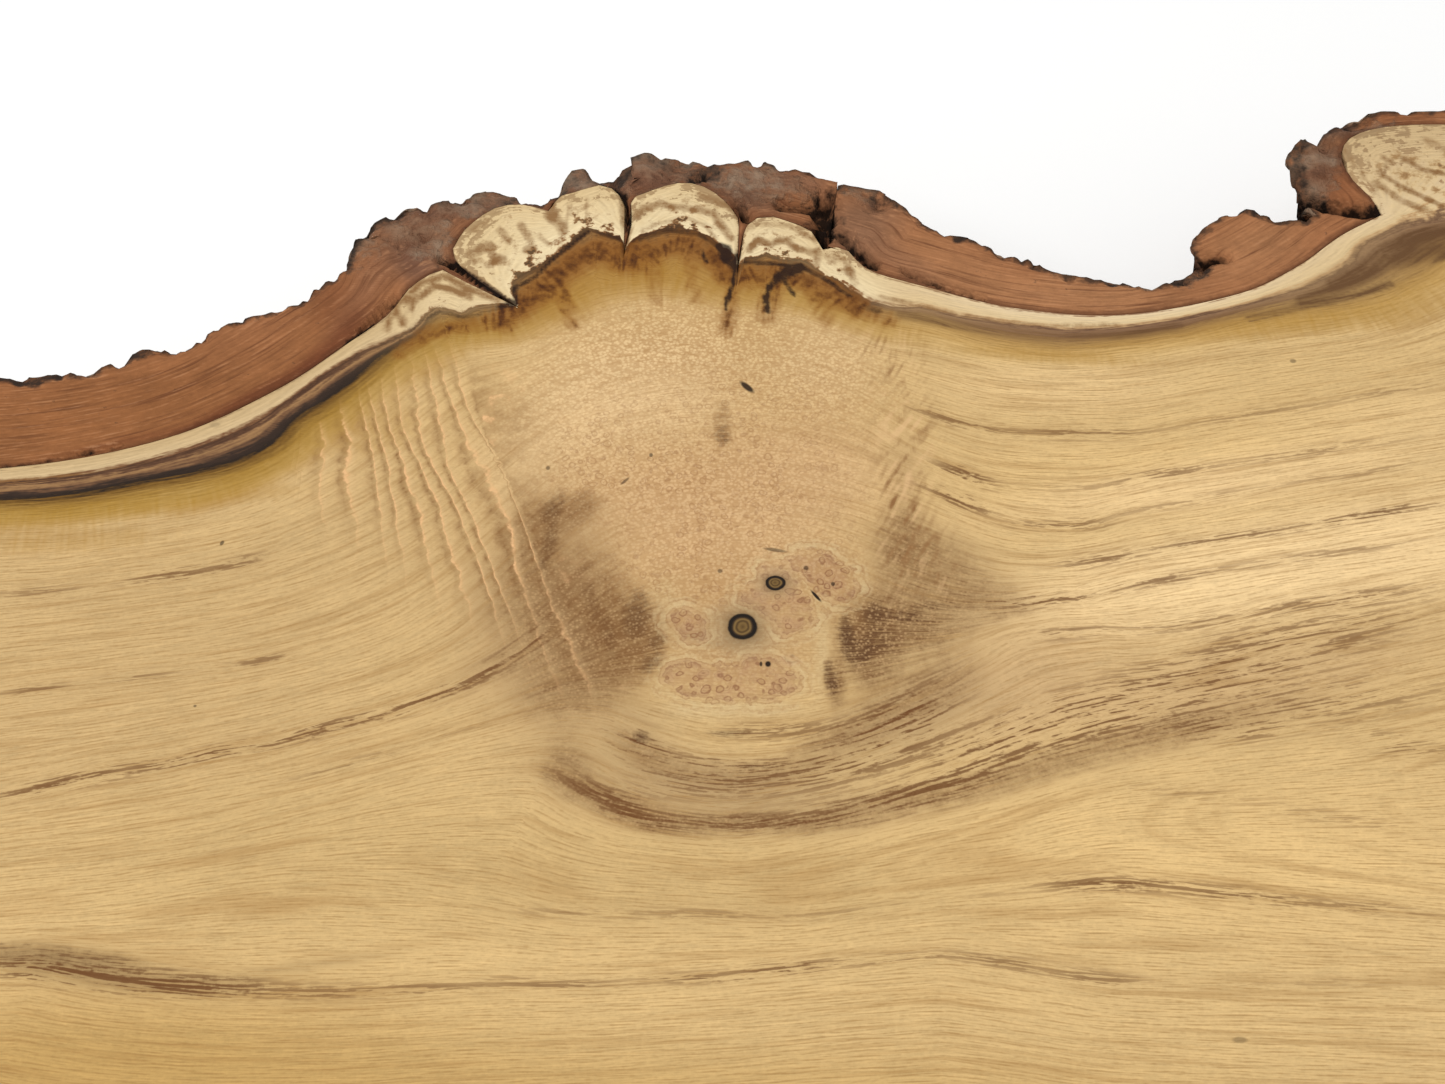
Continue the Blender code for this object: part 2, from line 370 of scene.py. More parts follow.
# Stripes of curly grain that fan down the left flank of the burl, each from top to bottom
curlLines = (
    ((300, 380), (296, 520), (300, 700)),
    ((322, 380), (330, 440), (334, 520), (340, 700)),
    ((345, 350), (361, 420), (371, 470), (378, 525), (390, 700)),
    ((360, 340), (376, 420), (391, 480), (401, 541), (420, 700)),
    ((385, 350), (392, 420), (408, 455), (422, 490), (450, 600), (470, 720)),
    ((405, 350), (420, 442), (446, 495), (471, 551), (500, 640), (515, 720)),
    ((425, 350), (453, 471), (475, 520), (498, 578), (525, 650), (545, 720)),
    ((440, 350), (461, 409), (498, 458), (515, 515), (532, 567), (556, 650), (585, 720)),
    ((465, 350), (487, 440), (512, 490), (533, 530), (560, 580), (597, 640), (615, 720)),
)

board = {
    "fineStep": 1.7 * mm,  # grid of the planed face in the photograph
    "burlStep": 0.95 * mm,  # and where the burl's figure is finest
    "coarseStep": 8 * mm,
    "fineX": 200 * mm,
    "fineY": -86 * mm,
    "burlX": (-78 * mm, 42 * mm),
    "burlY": (50 * mm, 190 * mm),
    "endStep": 3 * mm,
    "lineStep": 3 * mm,
    "carryOn": 60 * mm,  # the ring lines run on past the photograph's sides
    "arris": 1.2 * mm,  # eased edges of the sawn ends
    "pithHeight": 15 * mm,  # the log's heart lies this far above the lower face
    "pithLeft": -38 * mm,
    "pithRight": -8 * mm,
    "figureDepth": 6 * mm,  # the burl's figure fades out over this depth inside the innermost ring
    # Between the last full rings the depth rises by this many mm, by x, since they close on each other
    "extraX": (-160 * mm, 0, 80 * mm, 150 * mm, 200 * mm),
    "extraDepth": (2, 4, 7, 14, 18),
}


def copyOfNode(name):
    bm = bmesh.new()
    bm.from_mesh(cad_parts[name].data)
    bmesh.ops.remove_doubles(bm, verts=bm.verts, dist=0.01 * mm)
    return bm


# The faces that look along one axis, joined into one
def joinedFace(bm, axis, sign):
    faces = [f for f in bm.faces if f.normal[axis] * sign > 0.95]
    return bmesh.ops.dissolve_faces(bm, faces=faces)["region"]


# Cuts faces along the planes at the given places on one axis, lowest first
def sliceFaces(bm, faces, axis, stops):
    across = Vector([float(i == axis) for i in range(3)])
    uncut = list(faces)
    done = []
    for stop in stops:
        parts = set(uncut)
        for face in uncut:
            parts.update(face.edges)
            parts.update(face.verts)
        cut = bmesh.ops.bisect_plane(
            bm, geom=list(parts), plane_co=across * stop, plane_no=across, dist=0.001 * mm
        )
        pieces = [part for part in cut["geom"] if isinstance(part, bmesh.types.BMFace)]
        uncut = [f for f in pieces if f.calc_center_bounds()[axis] > stop]
        done += [f for f in pieces if f.calc_center_bounds()[axis] <= stop]
    return done + uncut


# Places along one axis, each stretch (its end, then its step) after the one before
def gridStops(start, *stretches):
    stops = []
    for end, step in stretches:
        stops += list(np.arange(start + step, end, step))
        start = end
    return stops


def boardMesh():
    bm = copyOfNode("slab_wood")
    joinedFace(bm, 2, 1)
    joinedFace(bm, 2, -1)
    ends = joinedFace(bm, 0, 1) + joinedFace(bm, 0, -1)
    endEdges = {e for f in ends for e in f.edges if abs(e.verts[0].co.z - e.verts[1].co.z) < mm}
    bmesh.ops.bevel(
        bm, geom=list(endEdges), offset=board["arris"], affect="EDGES", segments=2, profile=0.5, material=-1
    )
    upper = [f for f in bm.faces if f.normal.z > 0.99 and f.calc_area() > 0.01]
    lower = [f for f in bm.faces if f.normal.z < -0.99 and f.calc_area() > 0.01]
    ends = [f for f in bm.faces if abs(f.normal.x) > 0.99 and f.calc_area() > 0.001]
    fine, coarse = board["fineStep"], board["coarseStep"]
    x0, x1, y0, y1 = boardLow.x, boardHigh.x, boardLow.y, boardHigh.y
    finest, far = board["burlStep"], board["fineX"]
    (burlLeft, burlRight), (burlNear, burlFar) = board["burlX"], board["burlY"]
    stops = gridStops(x0, (-far, coarse), (burlLeft, fine), (burlRight, finest), (far, fine), (x1, coarse))
    strips = sliceFaces(bm, upper, 0, stops)
    stops = gridStops(y0, (board["fineY"], coarse), (burlNear, fine), (burlFar, finest), (y1, fine))
    sliceFaces(bm, strips, 1, stops)
    strips = sliceFaces(bm, lower, 0, np.arange(x0 + coarse, x1, coarse))
    sliceFaces(bm, strips, 1, np.arange(y0 + coarse, y1, coarse))
    strips = sliceFaces(bm, ends, 1, np.arange(y0, y1, board["endStep"]))
    sliceFaces(bm, strips, 2, np.arange(board["endStep"], top, board["endStep"]))
    return bm


# The far and near lines of an outline that runs from end to end of the slab, left to right
def sideLines(loop):
    left, right = boardLow.x, boardHigh.x
    atLeft = loop[abs(loop[:, 0] - left) < 0.1 * mm][:, 1]
    atRight = loop[abs(loop[:, 0] - right) < 0.1 * mm][:, 1]
    corners = ((left, atLeft.max()), (right, atRight.max()), (right, atRight.min()), (left, atLeft.min()))
    places = [int(np.argmin(abs(loop[:, :2] - corner).sum(1))) for corner in corners]
    loop = np.roll(loop, -places[0], axis=0)
    places = [(place - places[0]) % len(loop) for place in places]
    if places[1] > places[3]:
        loop = np.roll(loop[::-1], 1, axis=0)
        places = [(-place) % len(loop) for place in places]
    return loop[: places[1] + 1], loop[places[2] : places[3] + 1][::-1]


def boardEdges():
    bm = copyOfNode("slab_wood")
    face = joinedFace(bm, 2, 1)[0]
    loop = np.array([vert.co.xy for vert in face.verts])
    bm.free()
    return sideLines(loop)


farEdge, nearEdge = boardEdges()


# The ring lines in metres, between the two cambium lines, each with its depth below the bark
def ringFields():
    fields = [(0, farEdge)]
    for depth, pixels in ringLines.values():
        line = onFace(*np.array(pixels, float).T)
        left = line[0] + board["carryOn"] * (line[0] - line[1]) / np.linalg.norm(line[0] - line[1])
        right = line[-1] + board["carryOn"] * (line[-1] - line[-2]) / np.linalg.norm(line[-1] - line[-2])
        fields.append((depth, smoothLine(np.vstack([left, line, right]), board["lineStep"])))
    return fields + [(0, nearEdge)]


# Depth of each place below the bark, in mm, counted along the rings, and the rings' direction
def ringDepth(places):
    fields = ringFields()
    band = sum((~isBeyond(places, line)).astype(int) for depth, line in fields)
    band = np.clip(band, 1, len(fields) - 1)
    depth = np.zeros(len(places))
    flow = np.zeros((len(places), 3))
    for index in range(1, len(fields)):
        here = band == index
        outer, away, outerFlow = nearestOn(places[here], fields[index - 1][1])
        inner, away, innerFlow = nearestOn(places[here], fields[index][1])
        share = outer / np.maximum(outer + inner, 1e-9)
        depth[here] = fields[index - 1][0] * (1 - share) + fields[index][0] * share
        flow[here, :2] = outerFlow * (1 - share)[:, None] + innerFlow * share[:, None]
        if index in (len(fields) - 3, len(fields) - 4):
            rise = np.interp(places[here][:, 0], board["extraX"], board["extraDepth"])
            depth[here] += rise * 4 * share * (1 - share)
    return depth, flow / np.maximum(np.linalg.norm(flow, axis=1), 1e-9)[:, None]


# Which curly stripe a place is on: whole numbers on the lines, shares between them
def curlCount(places):
    # x and y change places, so that the lines run the way isBeyond needs
    turned = places[:, ::-1]
    lines = (onFace(*np.array(pixels, float).T)[:, ::-1] for pixels in curlLines)
    lines = (smoothLine(line, board["lineStep"]) for line in lines)
    lines = [line[np.argsort(line[:, 0])] for line in lines]
    passed = sum(isBeyond(turned, line).astype(int) for line in lines)
    count = passed.astype(float)
    for index in range(1, len(lines)):
        here = passed == index
        before = nearestOn(turned[here], lines[index - 1])[0]
        after = nearestOn(turned[here], lines[index])[0]
        count[here] = index + before / np.maximum(before + after, 1e-9)
    return count


# Where each ring comes up through the planed face, for any point of the board. The rings are
# tubes around the log's heart, so the ends and the lower face show the same rings.
def carriedUp(co):
    heart = np.interp(co[:, 0], (boardLow.x, boardHigh.x), (board["pithLeft"], board["pithRight"]))
    cover = top - board["pithHeight"]
    aside = co[:, 1] - heart
    radius = np.hypot(aside, co[:, 2] - board["pithHeight"])
    y = heart + np.sign(aside) * np.sqrt(np.maximum(radius**2 - cover**2, 0))
    return np.stack([co[:, 0], y], -1), np.maximum(cover - radius, 0)


# Colours of the board, washed over each other from the plain heartwood up. Each wash has a colour and soft
# spots as softSpots takes them. Most washes are the wood's own colour. The lighter washes on the right side
# are partly that and partly painted light: that side is washed brighter, as the light fell there.
heartwood = "#d6b47c"
woodAndLightWashes = (
    ("#caa975", ((120, 660, 330, 190, 0, 1.0), (330, 560, 150, 90, -30, 0.8))),
    ("#caa972", ((650, 880, 420, 60, 0, 0.8), (300, 860, 300, 90, 0, 0.7))),
    ("#bd985b", ((100, 1080, 420, 95, 0, 1.0), (700, 1110, 520, 60, 0, 0.6))),
    # partly painted light: the right side washed lighter, as well as the wood's own colour
    ("#f2d099", ((1320, 560, 330, 60, -10, 1.0), (1150, 590, 130, 40, -8, 0.6),
        (1380, 440, 160, 40, -10, 0.5))),
    ("#e2be82", ((1250, 860, 330, 70, 4, 0.8), (1180, 470, 260, 50, -8, 0.6))),
    ("#f0cd96", ((1200, 486, 190, 24, -8, 0.8), (1060, 386, 120, 26, 0, 0.4))),
    ("#cba878", ((1230, 680, 230, 42, -10, 0.6), (1010, 680, 110, 50, -14, 0.8))),
    ("#ebc996", ((640, 380, 120, 80, -10, 0.9), (560, 440, 80, 55, -30, 0.6), (820, 365, 60, 50, 0, 0.6))),
    ("#dcb585", ((690, 500, 130, 60, 0, 0.9), (800, 470, 90, 60, 0, 0.7), (720, 560, 110, 50, 0, 0.7))),
    ("#c09a6c", ((740, 630, 85, 60, 0, 0.7), (828, 575, 32, 26, 40, 0.5))),
    ("#a9916a", ((715, 640, 40, 10, 10, 0.7), (720, 618, 20, 12, 0, 0.5), (760, 640, 20, 10, 0, 0.5))),
    ("#d6b986", ((662, 600, 16, 26, 10, 0.6), (720, 712, 90, 8, 0, 0.8), (822, 650, 7, 50, 4, 0.8))),
    ("#b39468", ((710, 790, 150, 36, 4, 0.8), (900, 720, 90, 40, -25, 0.6), (640, 740, 60, 34, 20, 0.5))),
    ("#a98860", ((545, 640, 95, 120, -16, 0.55), (560, 540, 50, 60, -20, 0.4),
        (920, 580, 90, 60, 10, 0.35))),
)
brownWashes = (
    ("#7f5a36", (
        (600, 620, 50, 76, -20, 0.85), (545, 600, 34, 76, -15, 0.55), (570, 512, 36, 18, -20, 0.8),
        (640, 640, 26, 36, 30, 0.85), (560, 690, 56, 44, 0, 0.5), (530, 530, 26, 30, 0, 0.5),
        (868, 640, 26, 46, 0, 0.95), (880, 645, 40, 40, 0, 0.6), (900, 625, 66, 30, 10, 0.7),
        (940, 560, 66, 34, 20, 0.5),
        (970, 605, 80, 26, 0, 0.5), (835, 680, 12, 28, 0, 0.75), (900, 560, 30, 50, 0, 0.45),
        (600, 800, 60, 14, 24, 0.45), (735, 822, 90, 8, 0, 0.5), (880, 800, 90, 10, -14, 0.4),
        (905, 490, 22, 80, 0, 0.35), (722, 425, 12, 30, 0, 0.5), (640, 745, 34, 16, 20, 0.5),
        (870, 720, 60, 24, -25, 0.4), (830, 740, 60, 12, -12, 0.35),
        (566, 768, 30, 34, -20, 0.5), (640, 812, 60, 18, 18, 0.5), (755, 824, 110, 14, 0, 0.45),
        (880, 808, 90, 18, -12, 0.45), (1000, 780, 100, 20, -17, 0.5), (1130, 744, 110, 22, -14, 0.45),
        (1250, 712, 120, 24, -10, 0.35), (700, 775, 90, 20, 6, 0.4), (940, 690, 60, 30, -30, 0.45),
        (800, 765, 60, 16, -10, 0.4), (500, 600, 40, 60, -20, 0.35), (470, 680, 90, 20, -28, 0.3),
    )),
    ("#54351f", (
        (553, 508, 10, 20, 30, 0.75), (548, 548, 8, 28, 15, 0.65), (636, 616, 15, 26, 8, 0.8),
        (657, 640, 9, 11, 30, 0.75), (652, 663, 14, 8, -38, 0.8), (847, 640, 8, 26, -8, 0.95),
        (831, 678, 7, 18, -8, 0.85), (874, 612, 12, 13, 0, 0.7), (722, 436, 8, 12, 0, 0.55),
        (742, 731, 34, 3, -3, 0.8), (712, 762, 14, 3, 0, 0.7), (745, 768, 34, 3, -3, 0.6),
        (641, 738, 11, 8, 0, 0.7),
        (862, 656, 10, 12, 0, 0.6), (590, 600, 10, 34, -14, 0.4), (610, 640, 8, 30, -10, 0.4),
        (876, 640, 22, 20, 0, 0.45), (905, 616, 26, 8, 6, 0.5), (935, 606, 30, 5, 0, 0.4),
    )),
    # soft grey-brown under the thick line at the lower left
    ("#8f7048", ((60, 962, 110, 18, 6, 0.9), (180, 985, 110, 12, 2, 0.6), (310, 965, 120, 8, -8, 0.4))),
)
# Where each figure of the wood shows, as softSpots takes it
boardSpots = {
    # dark, broken pore lines
    "dashes": (
        (20, 592, 60, 9, -4, 0.5), (170, 576, 60, 10, -6, 0.9), (240, 562, 40, 9, -12, 0.8),
        (60, 594, 40, 8, 0, 0.6),
        (40, 691, 50, 9, -4, 0.8), (140, 677, 50, 8, -6, 0.7), (262, 661, 40, 9, -8, 0.8),
        (15, 718, 26, 6, 0, 0.5),
        (60, 783, 90, 10, -14, 1.0), (200, 757, 110, 10, -12, 1.0), (330, 727, 90, 10, -14, 1.0),
        (430, 697, 60, 9, -22, 1.0), (500, 662, 50, 9, -35, 1.0), (545, 632, 30, 9, -50, 0.7),
        (350, 765, 80, 8, -16, 0.6), (470, 728, 60, 8, -16, 0.4),
        (60, 970, 110, 18, 4, 1.0), (190, 987, 100, 14, 2, 1.0), (330, 992, 80, 9, 0, 0.8),
        (430, 989, 60, 8, 0, 0.8),
        (560, 984, 90, 8, 0, 0.8), (700, 978, 60, 8, 0, 0.9), (790, 968, 70, 9, -6, 1.0),
        (900, 959, 60, 8, -4, 0.8),
        (1000, 962, 60, 10, 8, 0.8), (1100, 979, 60, 11, 6, 0.8), (1300, 984, 120, 8, 0, 0.5),
        (560, 912, 60, 9, 2, 0.5), (700, 915, 100, 10, 0, 0.6), (850, 910, 80, 8, -6, 0.5),
        (980, 896, 60, 7, -5, 0.4),
        (1110, 884, 90, 11, 0, 1.0), (1240, 896, 90, 10, 6, 0.9), (1380, 909, 80, 9, 6, 0.7),
        (960, 421, 60, 9, 14, 0.8), (1080, 434, 80, 9, 0, 0.8), (1250, 415, 110, 8, -8, 0.6),
        (1400, 389, 60, 8, -8, 0.6),
        (965, 475, 40, 10, 18, 1.0), (1050, 488, 60, 7, 0, 0.5), (1160, 475, 70, 9, -8, 0.8),
        (1320, 450, 110, 8, -8, 0.7),
        (960, 500, 44, 10, 20, 1.0), (1060, 525, 60, 8, 0, 0.8), (1180, 503, 100, 7, -10, 0.6),
        (1360, 472, 90, 8, -8, 0.6),
        (1100, 560, 60, 8, -8, 0.9), (1220, 539, 90, 7, -8, 0.9), (1370, 515, 90, 8, -10, 1.0),
        (1050, 600, 60, 9, -5, 1.0), (1160, 580, 80, 8, -10, 0.9), (1330, 553, 120, 7, -9, 0.7),
        (1070, 632, 60, 9, -5, 0.8), (1180, 625, 70, 9, -6, 0.7), (1330, 600, 120, 9, -8, 0.8),
        (1290, 640, 170, 30, -12, 0.8), (1180, 690, 160, 30, -12, 0.9), (1080, 720, 100, 26, -16, 1.0),
        (1000, 740, 90, 26, -18, 1.0), (1350, 700, 120, 26, -8, 0.7), (1400, 745, 60, 14, 10, 0.8),
        (1230, 730, 60, 16, 0, 0.8), (1170, 790, 90, 10, 4, 0.5), (1340, 818, 120, 10, 8, 0.6),
        (900, 725, 70, 34, -28, 1.0), (850, 760, 90, 26, -20, 0.9), (720, 768, 80, 18, 0, 0.8),
        (720, 822, 110, 10, 2, 0.65), (850, 808, 100, 14, -12, 0.75), (950, 780, 80, 18, -18, 0.85),
        (610, 800, 60, 14, 25, 0.9), (640, 745, 40, 20, 20, 0.9), (780, 730, 70, 12, -3, 0.8),
        (700, 790, 80, 12, 0, 0.6),
        (500, 980, 30, 6, 0, 0.4), (200, 805, 50, 8, 0, 0.35), (240, 855, 70, 10, 8, 0.35),
        (450, 878, 14, 4, 0, 0.6),
    ),
    # curly stripes on the left flank, and finer ones on the right
    "curl": (
        (425, 480, 110, 70, 45, 1.0), (345, 450, 40, 64, 0, 0.8), (505, 550, 54, 64, -10, 0.9),
        (590, 640, 60, 50, 20, 0.6), (470, 410, 66, 44, 30, 0.8),
    ),
    "rightCurl": (
        (905, 480, 26, 110, 4, 1.0), (890, 380, 20, 70, 8, 0.5), (870, 350, 26, 30, 0, 0.4),
        (930, 560, 30, 40, 0, 0.6),
    ),
    # small eyes, where the burl's buds were cut across
    "eyes": (
        (700, 480, 175, 62, 0, 0.9), (720, 570, 130, 60, 0, 0.9), (760, 400, 120, 50, 0, 0.6),
        (735, 660, 95, 50, 0, 0.8), (600, 440, 70, 50, -20, 0.5), (828, 575, 40, 34, 40, 1.0),
    ),
    # ripples of bright and dark grain
    "ripples": ((690, 340, 150, 50, 0, 1.0), (800, 390, 110, 60, 0, 0.8), (560, 400, 90, 50, -25, 0.6)),
    # gold beneath the sapwood
    "gold": (
        (80, 512, 200, 12, -6, 1.0), (240, 482, 70, 14, -24, 1.0), (330, 424, 70, 24, -38, 0.9),
        (430, 355, 60, 26, -30, 0.8), (560, 300, 66, 30, -20, 1.0), (650, 270, 70, 28, 0, 1.0),
        (740, 285, 66, 26, 0, 0.9), (820, 305, 50, 18, 16, 0.8), (1050, 356, 130, 9, 4, 0.55),
        (1300, 322, 120, 16, -6, 0.8), (1420, 300, 60, 30, -20, 0.6), (60, 540, 120, 16, -3, 0.5),
        (380, 430, 50, 30, -20, 0.5),
        (480, 330, 50, 16, 0, 0.9), (880, 330, 50, 12, 10, 0.6),
    ),
    # cream knuckles of sapwood on the burl and the lump
    "knuckles": (
        (500, 250, 50, 44, -20, 1.0), (590, 215, 40, 26, 0, 1.0), (685, 210, 60, 28, 0, 1.0),
        (780, 240, 44, 22, 0, 1.0), (838, 262, 30, 20, 20, 1.0), (1420, 170, 90, 42, 8, 1.0),
        (430, 300, 50, 18, -20, 0.6),
    ),
    # the right edge's and the burl's own bands. The left edge's run on wherever these don't hold.
    "rightEdge": ((1130, 320, 330, 70, 0, 1.0), (1500, 240, 200, 90, 0, 1.0)),
    "burlEdge": ((640, 255, 240, 75, -5, 1.0), (850, 285, 40, 30, 20, 0.8)),
}
# Lines of colour, as softStrokes takes them
boardStrokes = {
    # rust that runs down from the knuckles
    "rust": (
        (15, 1.0, (505, 318), (525, 302), (548, 284), (575, 262), (600, 250), (628, 260)),
        (13, 0.9, (628, 260), (655, 249), (690, 244), (712, 254), (724, 272)),
        (13, 0.9, (745, 276), (775, 273), (800, 278), (830, 292), (858, 307)),
        (9, 0.7, (400, 352), (430, 332), (470, 326), (505, 320)), (9, 0.7, (858, 309), (890, 320)),
        (9, 0.8, (724, 250), (733, 290), (727, 330)), (12, 0.7, (775, 280), (766, 315)),
        (10, 0.6, (812, 290), (826, 318)),
        (10, 0.6, (560, 290), (572, 322)), (10, 0.5, (652, 262), (656, 300)), (9, 0.5, (690, 258),
            (694, 296)),
    ),
    # brown bands and clouds in the sapwood
    "sapwoodBrown": (
        (4, 0.75, (640, 216), (648, 208), (660, 204), (691, 209), (713, 213), (722, 228), (729, 238)),
        (3, 0.5, (643, 232), (660, 222), (690, 219), (706, 226), (716, 240)),
        (4, 0.9, (750, 250), (759, 240), (770, 244), (780, 241), (787, 241), (797, 249), (814, 253)),
        (4, 0.5, (745, 230), (760, 224), (790, 226), (815, 240)),
        (6, 0.8, (549, 216), (558, 222), (562, 230)), (4, 0.7, (552, 206), (556, 214)),
        (3, 0.5, (587, 200), (587, 224)),
        (4, 0.7, (617, 199), (620, 222)), (4, 0.9, (624, 190), (630, 232), (625, 248)),
        (3, 0.5, (571, 200), (566, 228)),
        (6, 0.8, (478, 250), (490, 246)), (5, 0.8, (494, 256), (503, 259)), (5, 0.7, (526, 250),
            (533, 248)),
        (5, 0.6, (500, 230), (509, 241)), (5, 0.7, (521, 226), (529, 238)), (4, 0.6, (488, 266),
            (494, 262)),
        (4, 0.6, (468, 252), (474, 262)), (6, 0.4, (474, 230), (486, 222)), (4, 0.5, (540, 236),
            (548, 244)),
        (4, 0.9, (402, 324), (415, 300), (436, 286), (452, 290), (470, 297)),
        (4, 0.8, (385, 330), (398, 306), (420, 284), (445, 276), (470, 290), (498, 300)),
        (3, 0.7, (450, 262), (480, 280), (508, 300)), (5, 0.6, (700, 195), (725, 205), (738, 220)),
        (5, 0.5, (826, 256), (834, 262)), (5, 0.5, (846, 270), (856, 282)), (4, 0.6, (818, 250),
            (816, 268)),
        (4, 0.6, (836, 254), (846, 262), (852, 272)), (5, 0.7, (742, 222), (739, 250), (737, 262)),
        (3, 0.5, (880, 296), (960, 316), (1040, 326), (1120, 325)),
        (5, 0.8, (0, 484), (100, 476), (180, 461), (240, 438), (300, 402), (350, 366), (384, 350)),
        (3, 0.8, (1381, 156), (1392, 163), (1380, 173), (1400, 186), (1445, 207)),
        (3, 0.8, (1401, 158), (1424, 170), (1445, 174)),
        (4, 0.6, (1376, 182), (1400, 200), (1430, 212)), (3, 0.5, (1345, 150), (1358, 168), (1378, 196)),
        (5, 0.5, (1425, 140), (1445, 150)), (6, 0.4, (1350, 200), (1372, 214)), (3, 0.4, (1372, 128),
            (1384, 142)),
    ),
    # dark fissures between the knuckles and beneath them
    "fissures": (
        (3, 1.0, (737, 256), (736, 270), (732, 287), (728, 298), (726, 309)),
        (6, 0.9, (726, 250), (730, 262), (737, 266)), (5, 0.9, (720, 246), (724, 258)),
        (6, 1.0, (800, 269), (788, 272), (779, 277)), (4, 1.0, (779, 277), (770, 286), (766, 298),
            (768, 311)),
        (3, 0.8, (785, 282), (794, 295)), (3, 0.7, (702, 250), (706, 262)), (3, 0.8, (514, 288),
            (516, 304), (500, 306)),
        (3, 0.8, (516, 288), (536, 276), (552, 260), (570, 246), (588, 232)), (3, 0.7, (600, 234),
            (622, 240)),
        (3, 0.6, (640, 240), (668, 231), (700, 235), (720, 248)), (3, 0.7, (745, 262), (800, 266),
            (826, 280), (850, 296)),
        (3, 0.5, (400, 340), (420, 322), (440, 311), (464, 318), (500, 308)), (4, 0.6, (862, 306),
            (880, 312)),
        (3, 0.9, (447, 262), (470, 274), (496, 292), (514, 304)),
    ),
    # brown that follows the foot of the lump
    "rootBrown": (
        (8, 0.9, (1332, 284), (1360, 268), (1385, 250), (1410, 238), (1445, 232)),
        (7, 0.8, (1300, 300), (1340, 288), (1380, 272), (1410, 254), (1445, 246)),
        (4, 0.7, (1250, 318), (1300, 308), (1350, 298), (1390, 284)), (9, 0.8, (1400, 262), (1445, 252)),
        (5, 0.5, (900, 314), (960, 326), (1040, 338), (1120, 336), (1180, 326)),
    ),
}
# Nests of cut buds in the middle of the burl
nests = (
    ((664, 677), (668, 670), (687, 664), (705, 670), (719, 669), (742, 667), (748, 660), (772, 659),
        (778, 666),
     (795, 677), (795, 688), (783, 695), (766, 698), (742, 697), (725, 698), (702, 697), (684, 692),
     (670, 685)),
    ((744, 593), (751, 588), (763, 590), (766, 567), (777, 564), (786, 575), (801, 590), (810, 607),
        (811, 619),
     (801, 628), (786, 632), (772, 619), (757, 605), (745, 600)),
    ((789, 564), (801, 555), (821, 554), (836, 564), (847, 572), (853, 587), (850, 596), (836, 600),
        (821, 590), (807, 575)),
    ((672, 622), (675, 614), (687, 612), (699, 616), (705, 625), (702, 637), (697, 640), (690, 638),
        (681, 632)),
)
budEyes = (  # middle, half length and half width in pixels, turn
    (686.5, 621.5, 4, 4, 0), (697, 626, 4, 4, 0), (755.6, 594.4, 5, 4, 0), (764, 597, 4, 4, 0),
    (777.5, 604.6, 6, 5, 0),
    (790.6, 598, 5, 5, 0), (797, 611, 6, 5, 20), (787, 620, 5, 5, 0), (821, 564, 6, 5, 0),
    (830, 578, 6, 5, 30),
    (841, 588, 5, 5, 0), (808, 569, 5, 4, 0), (704.6, 673, 5, 4, 0), (719, 675, 5, 4, 0),
    (707, 686, 5, 4, 0),
    (697, 687, 4, 3.5, 0), (727, 687, 5, 4, 0), (741, 678, 6, 5, 0), (753, 681, 5, 5, 0),
    (780.4, 686, 9, 8, 0),
    (793.5, 656, 9, 8, 0), (720, 571, 4, 4, 0), (695, 577, 5, 4, 0), (697, 588, 4, 4, 0),
)


# Lays one wash over the rows of linear colours, by a share for each
def washOver(colours, hexColour, share):
    return colours + (np.array(linear(hexColour)[:3]) - colours) * share[:, None]


# How deep each place lies inside the nearest nest of buds, in mm, and below 0 outside
def nestDepth(places):
    depth = np.full(len(places), -np.inf)
    for nest in nests:
        loop = onFace(*np.array(nest, float).T)
        gap = nearestOn(places, np.vstack([loop, loop[:1]]))[0] / mm
        depth = np.maximum(depth, np.where(isInside(places, loop), gap, -gap))
    return depth


# Everything that the board's finish reads at its vertices
def boardLayers(co):
    places, buried = carriedUp(co)
    px, py = inPhoto(*places.T)
    colours = np.tile(linear(heartwood)[:3], (len(co), 1))
    for hexColour, spots in woodAndLightWashes:
        colours = washOver(colours, hexColour, softSpots(px, py, spots))
    layers = {name: softSpots(px, py, spots) for name, spots in boardSpots.items()}
    layers |= {name: softStrokes(px, py, strokes) for name, strokes in boardStrokes.items()}
    for index, (hexColour, spots) in enumerate(brownWashes):
        layers[f"brown{index}"] = softSpots(px, py, spots)
    # The burl's figure ends where the lower face lies inside its innermost ring
    seen = np.clip(1 - buried / board["figureDepth"], 0, 1)
    layers = {name: values * seen for name, values in layers.items()}
    depth, flow = ringDepth(places)
    layers |= {
        "flow": flow,
        "ringDepth": depth + buried / mm,
        "curlCount": curlCount(places),
        "nestDepth": nestDepth(places) - 2 * buried / mm,
    }
    return layers, colours


def addLayers(mesh, layers, colours):
    for name, values in layers.items():
        values = np.asarray(values, np.float32)
        kind, field = ("FLOAT_VECTOR", "vector") if values.ndim == 2 else ("FLOAT", "value")
        mesh.attributes.new(name, kind, "POINT").data.foreach_set(field, values.ravel())
    tint = mesh.attributes.new("tint", "FLOAT_COLOR", "POINT")
    rows = np.column_stack([colours, np.ones(len(colours))])
    tint.data.foreach_set("color", rows.astype(np.float32).ravel())


def placesOf(mesh):
    co = np.empty(len(mesh.vertices) * 3)
    mesh.vertices.foreach_get("co", co)
    return co.reshape(-1, 3)


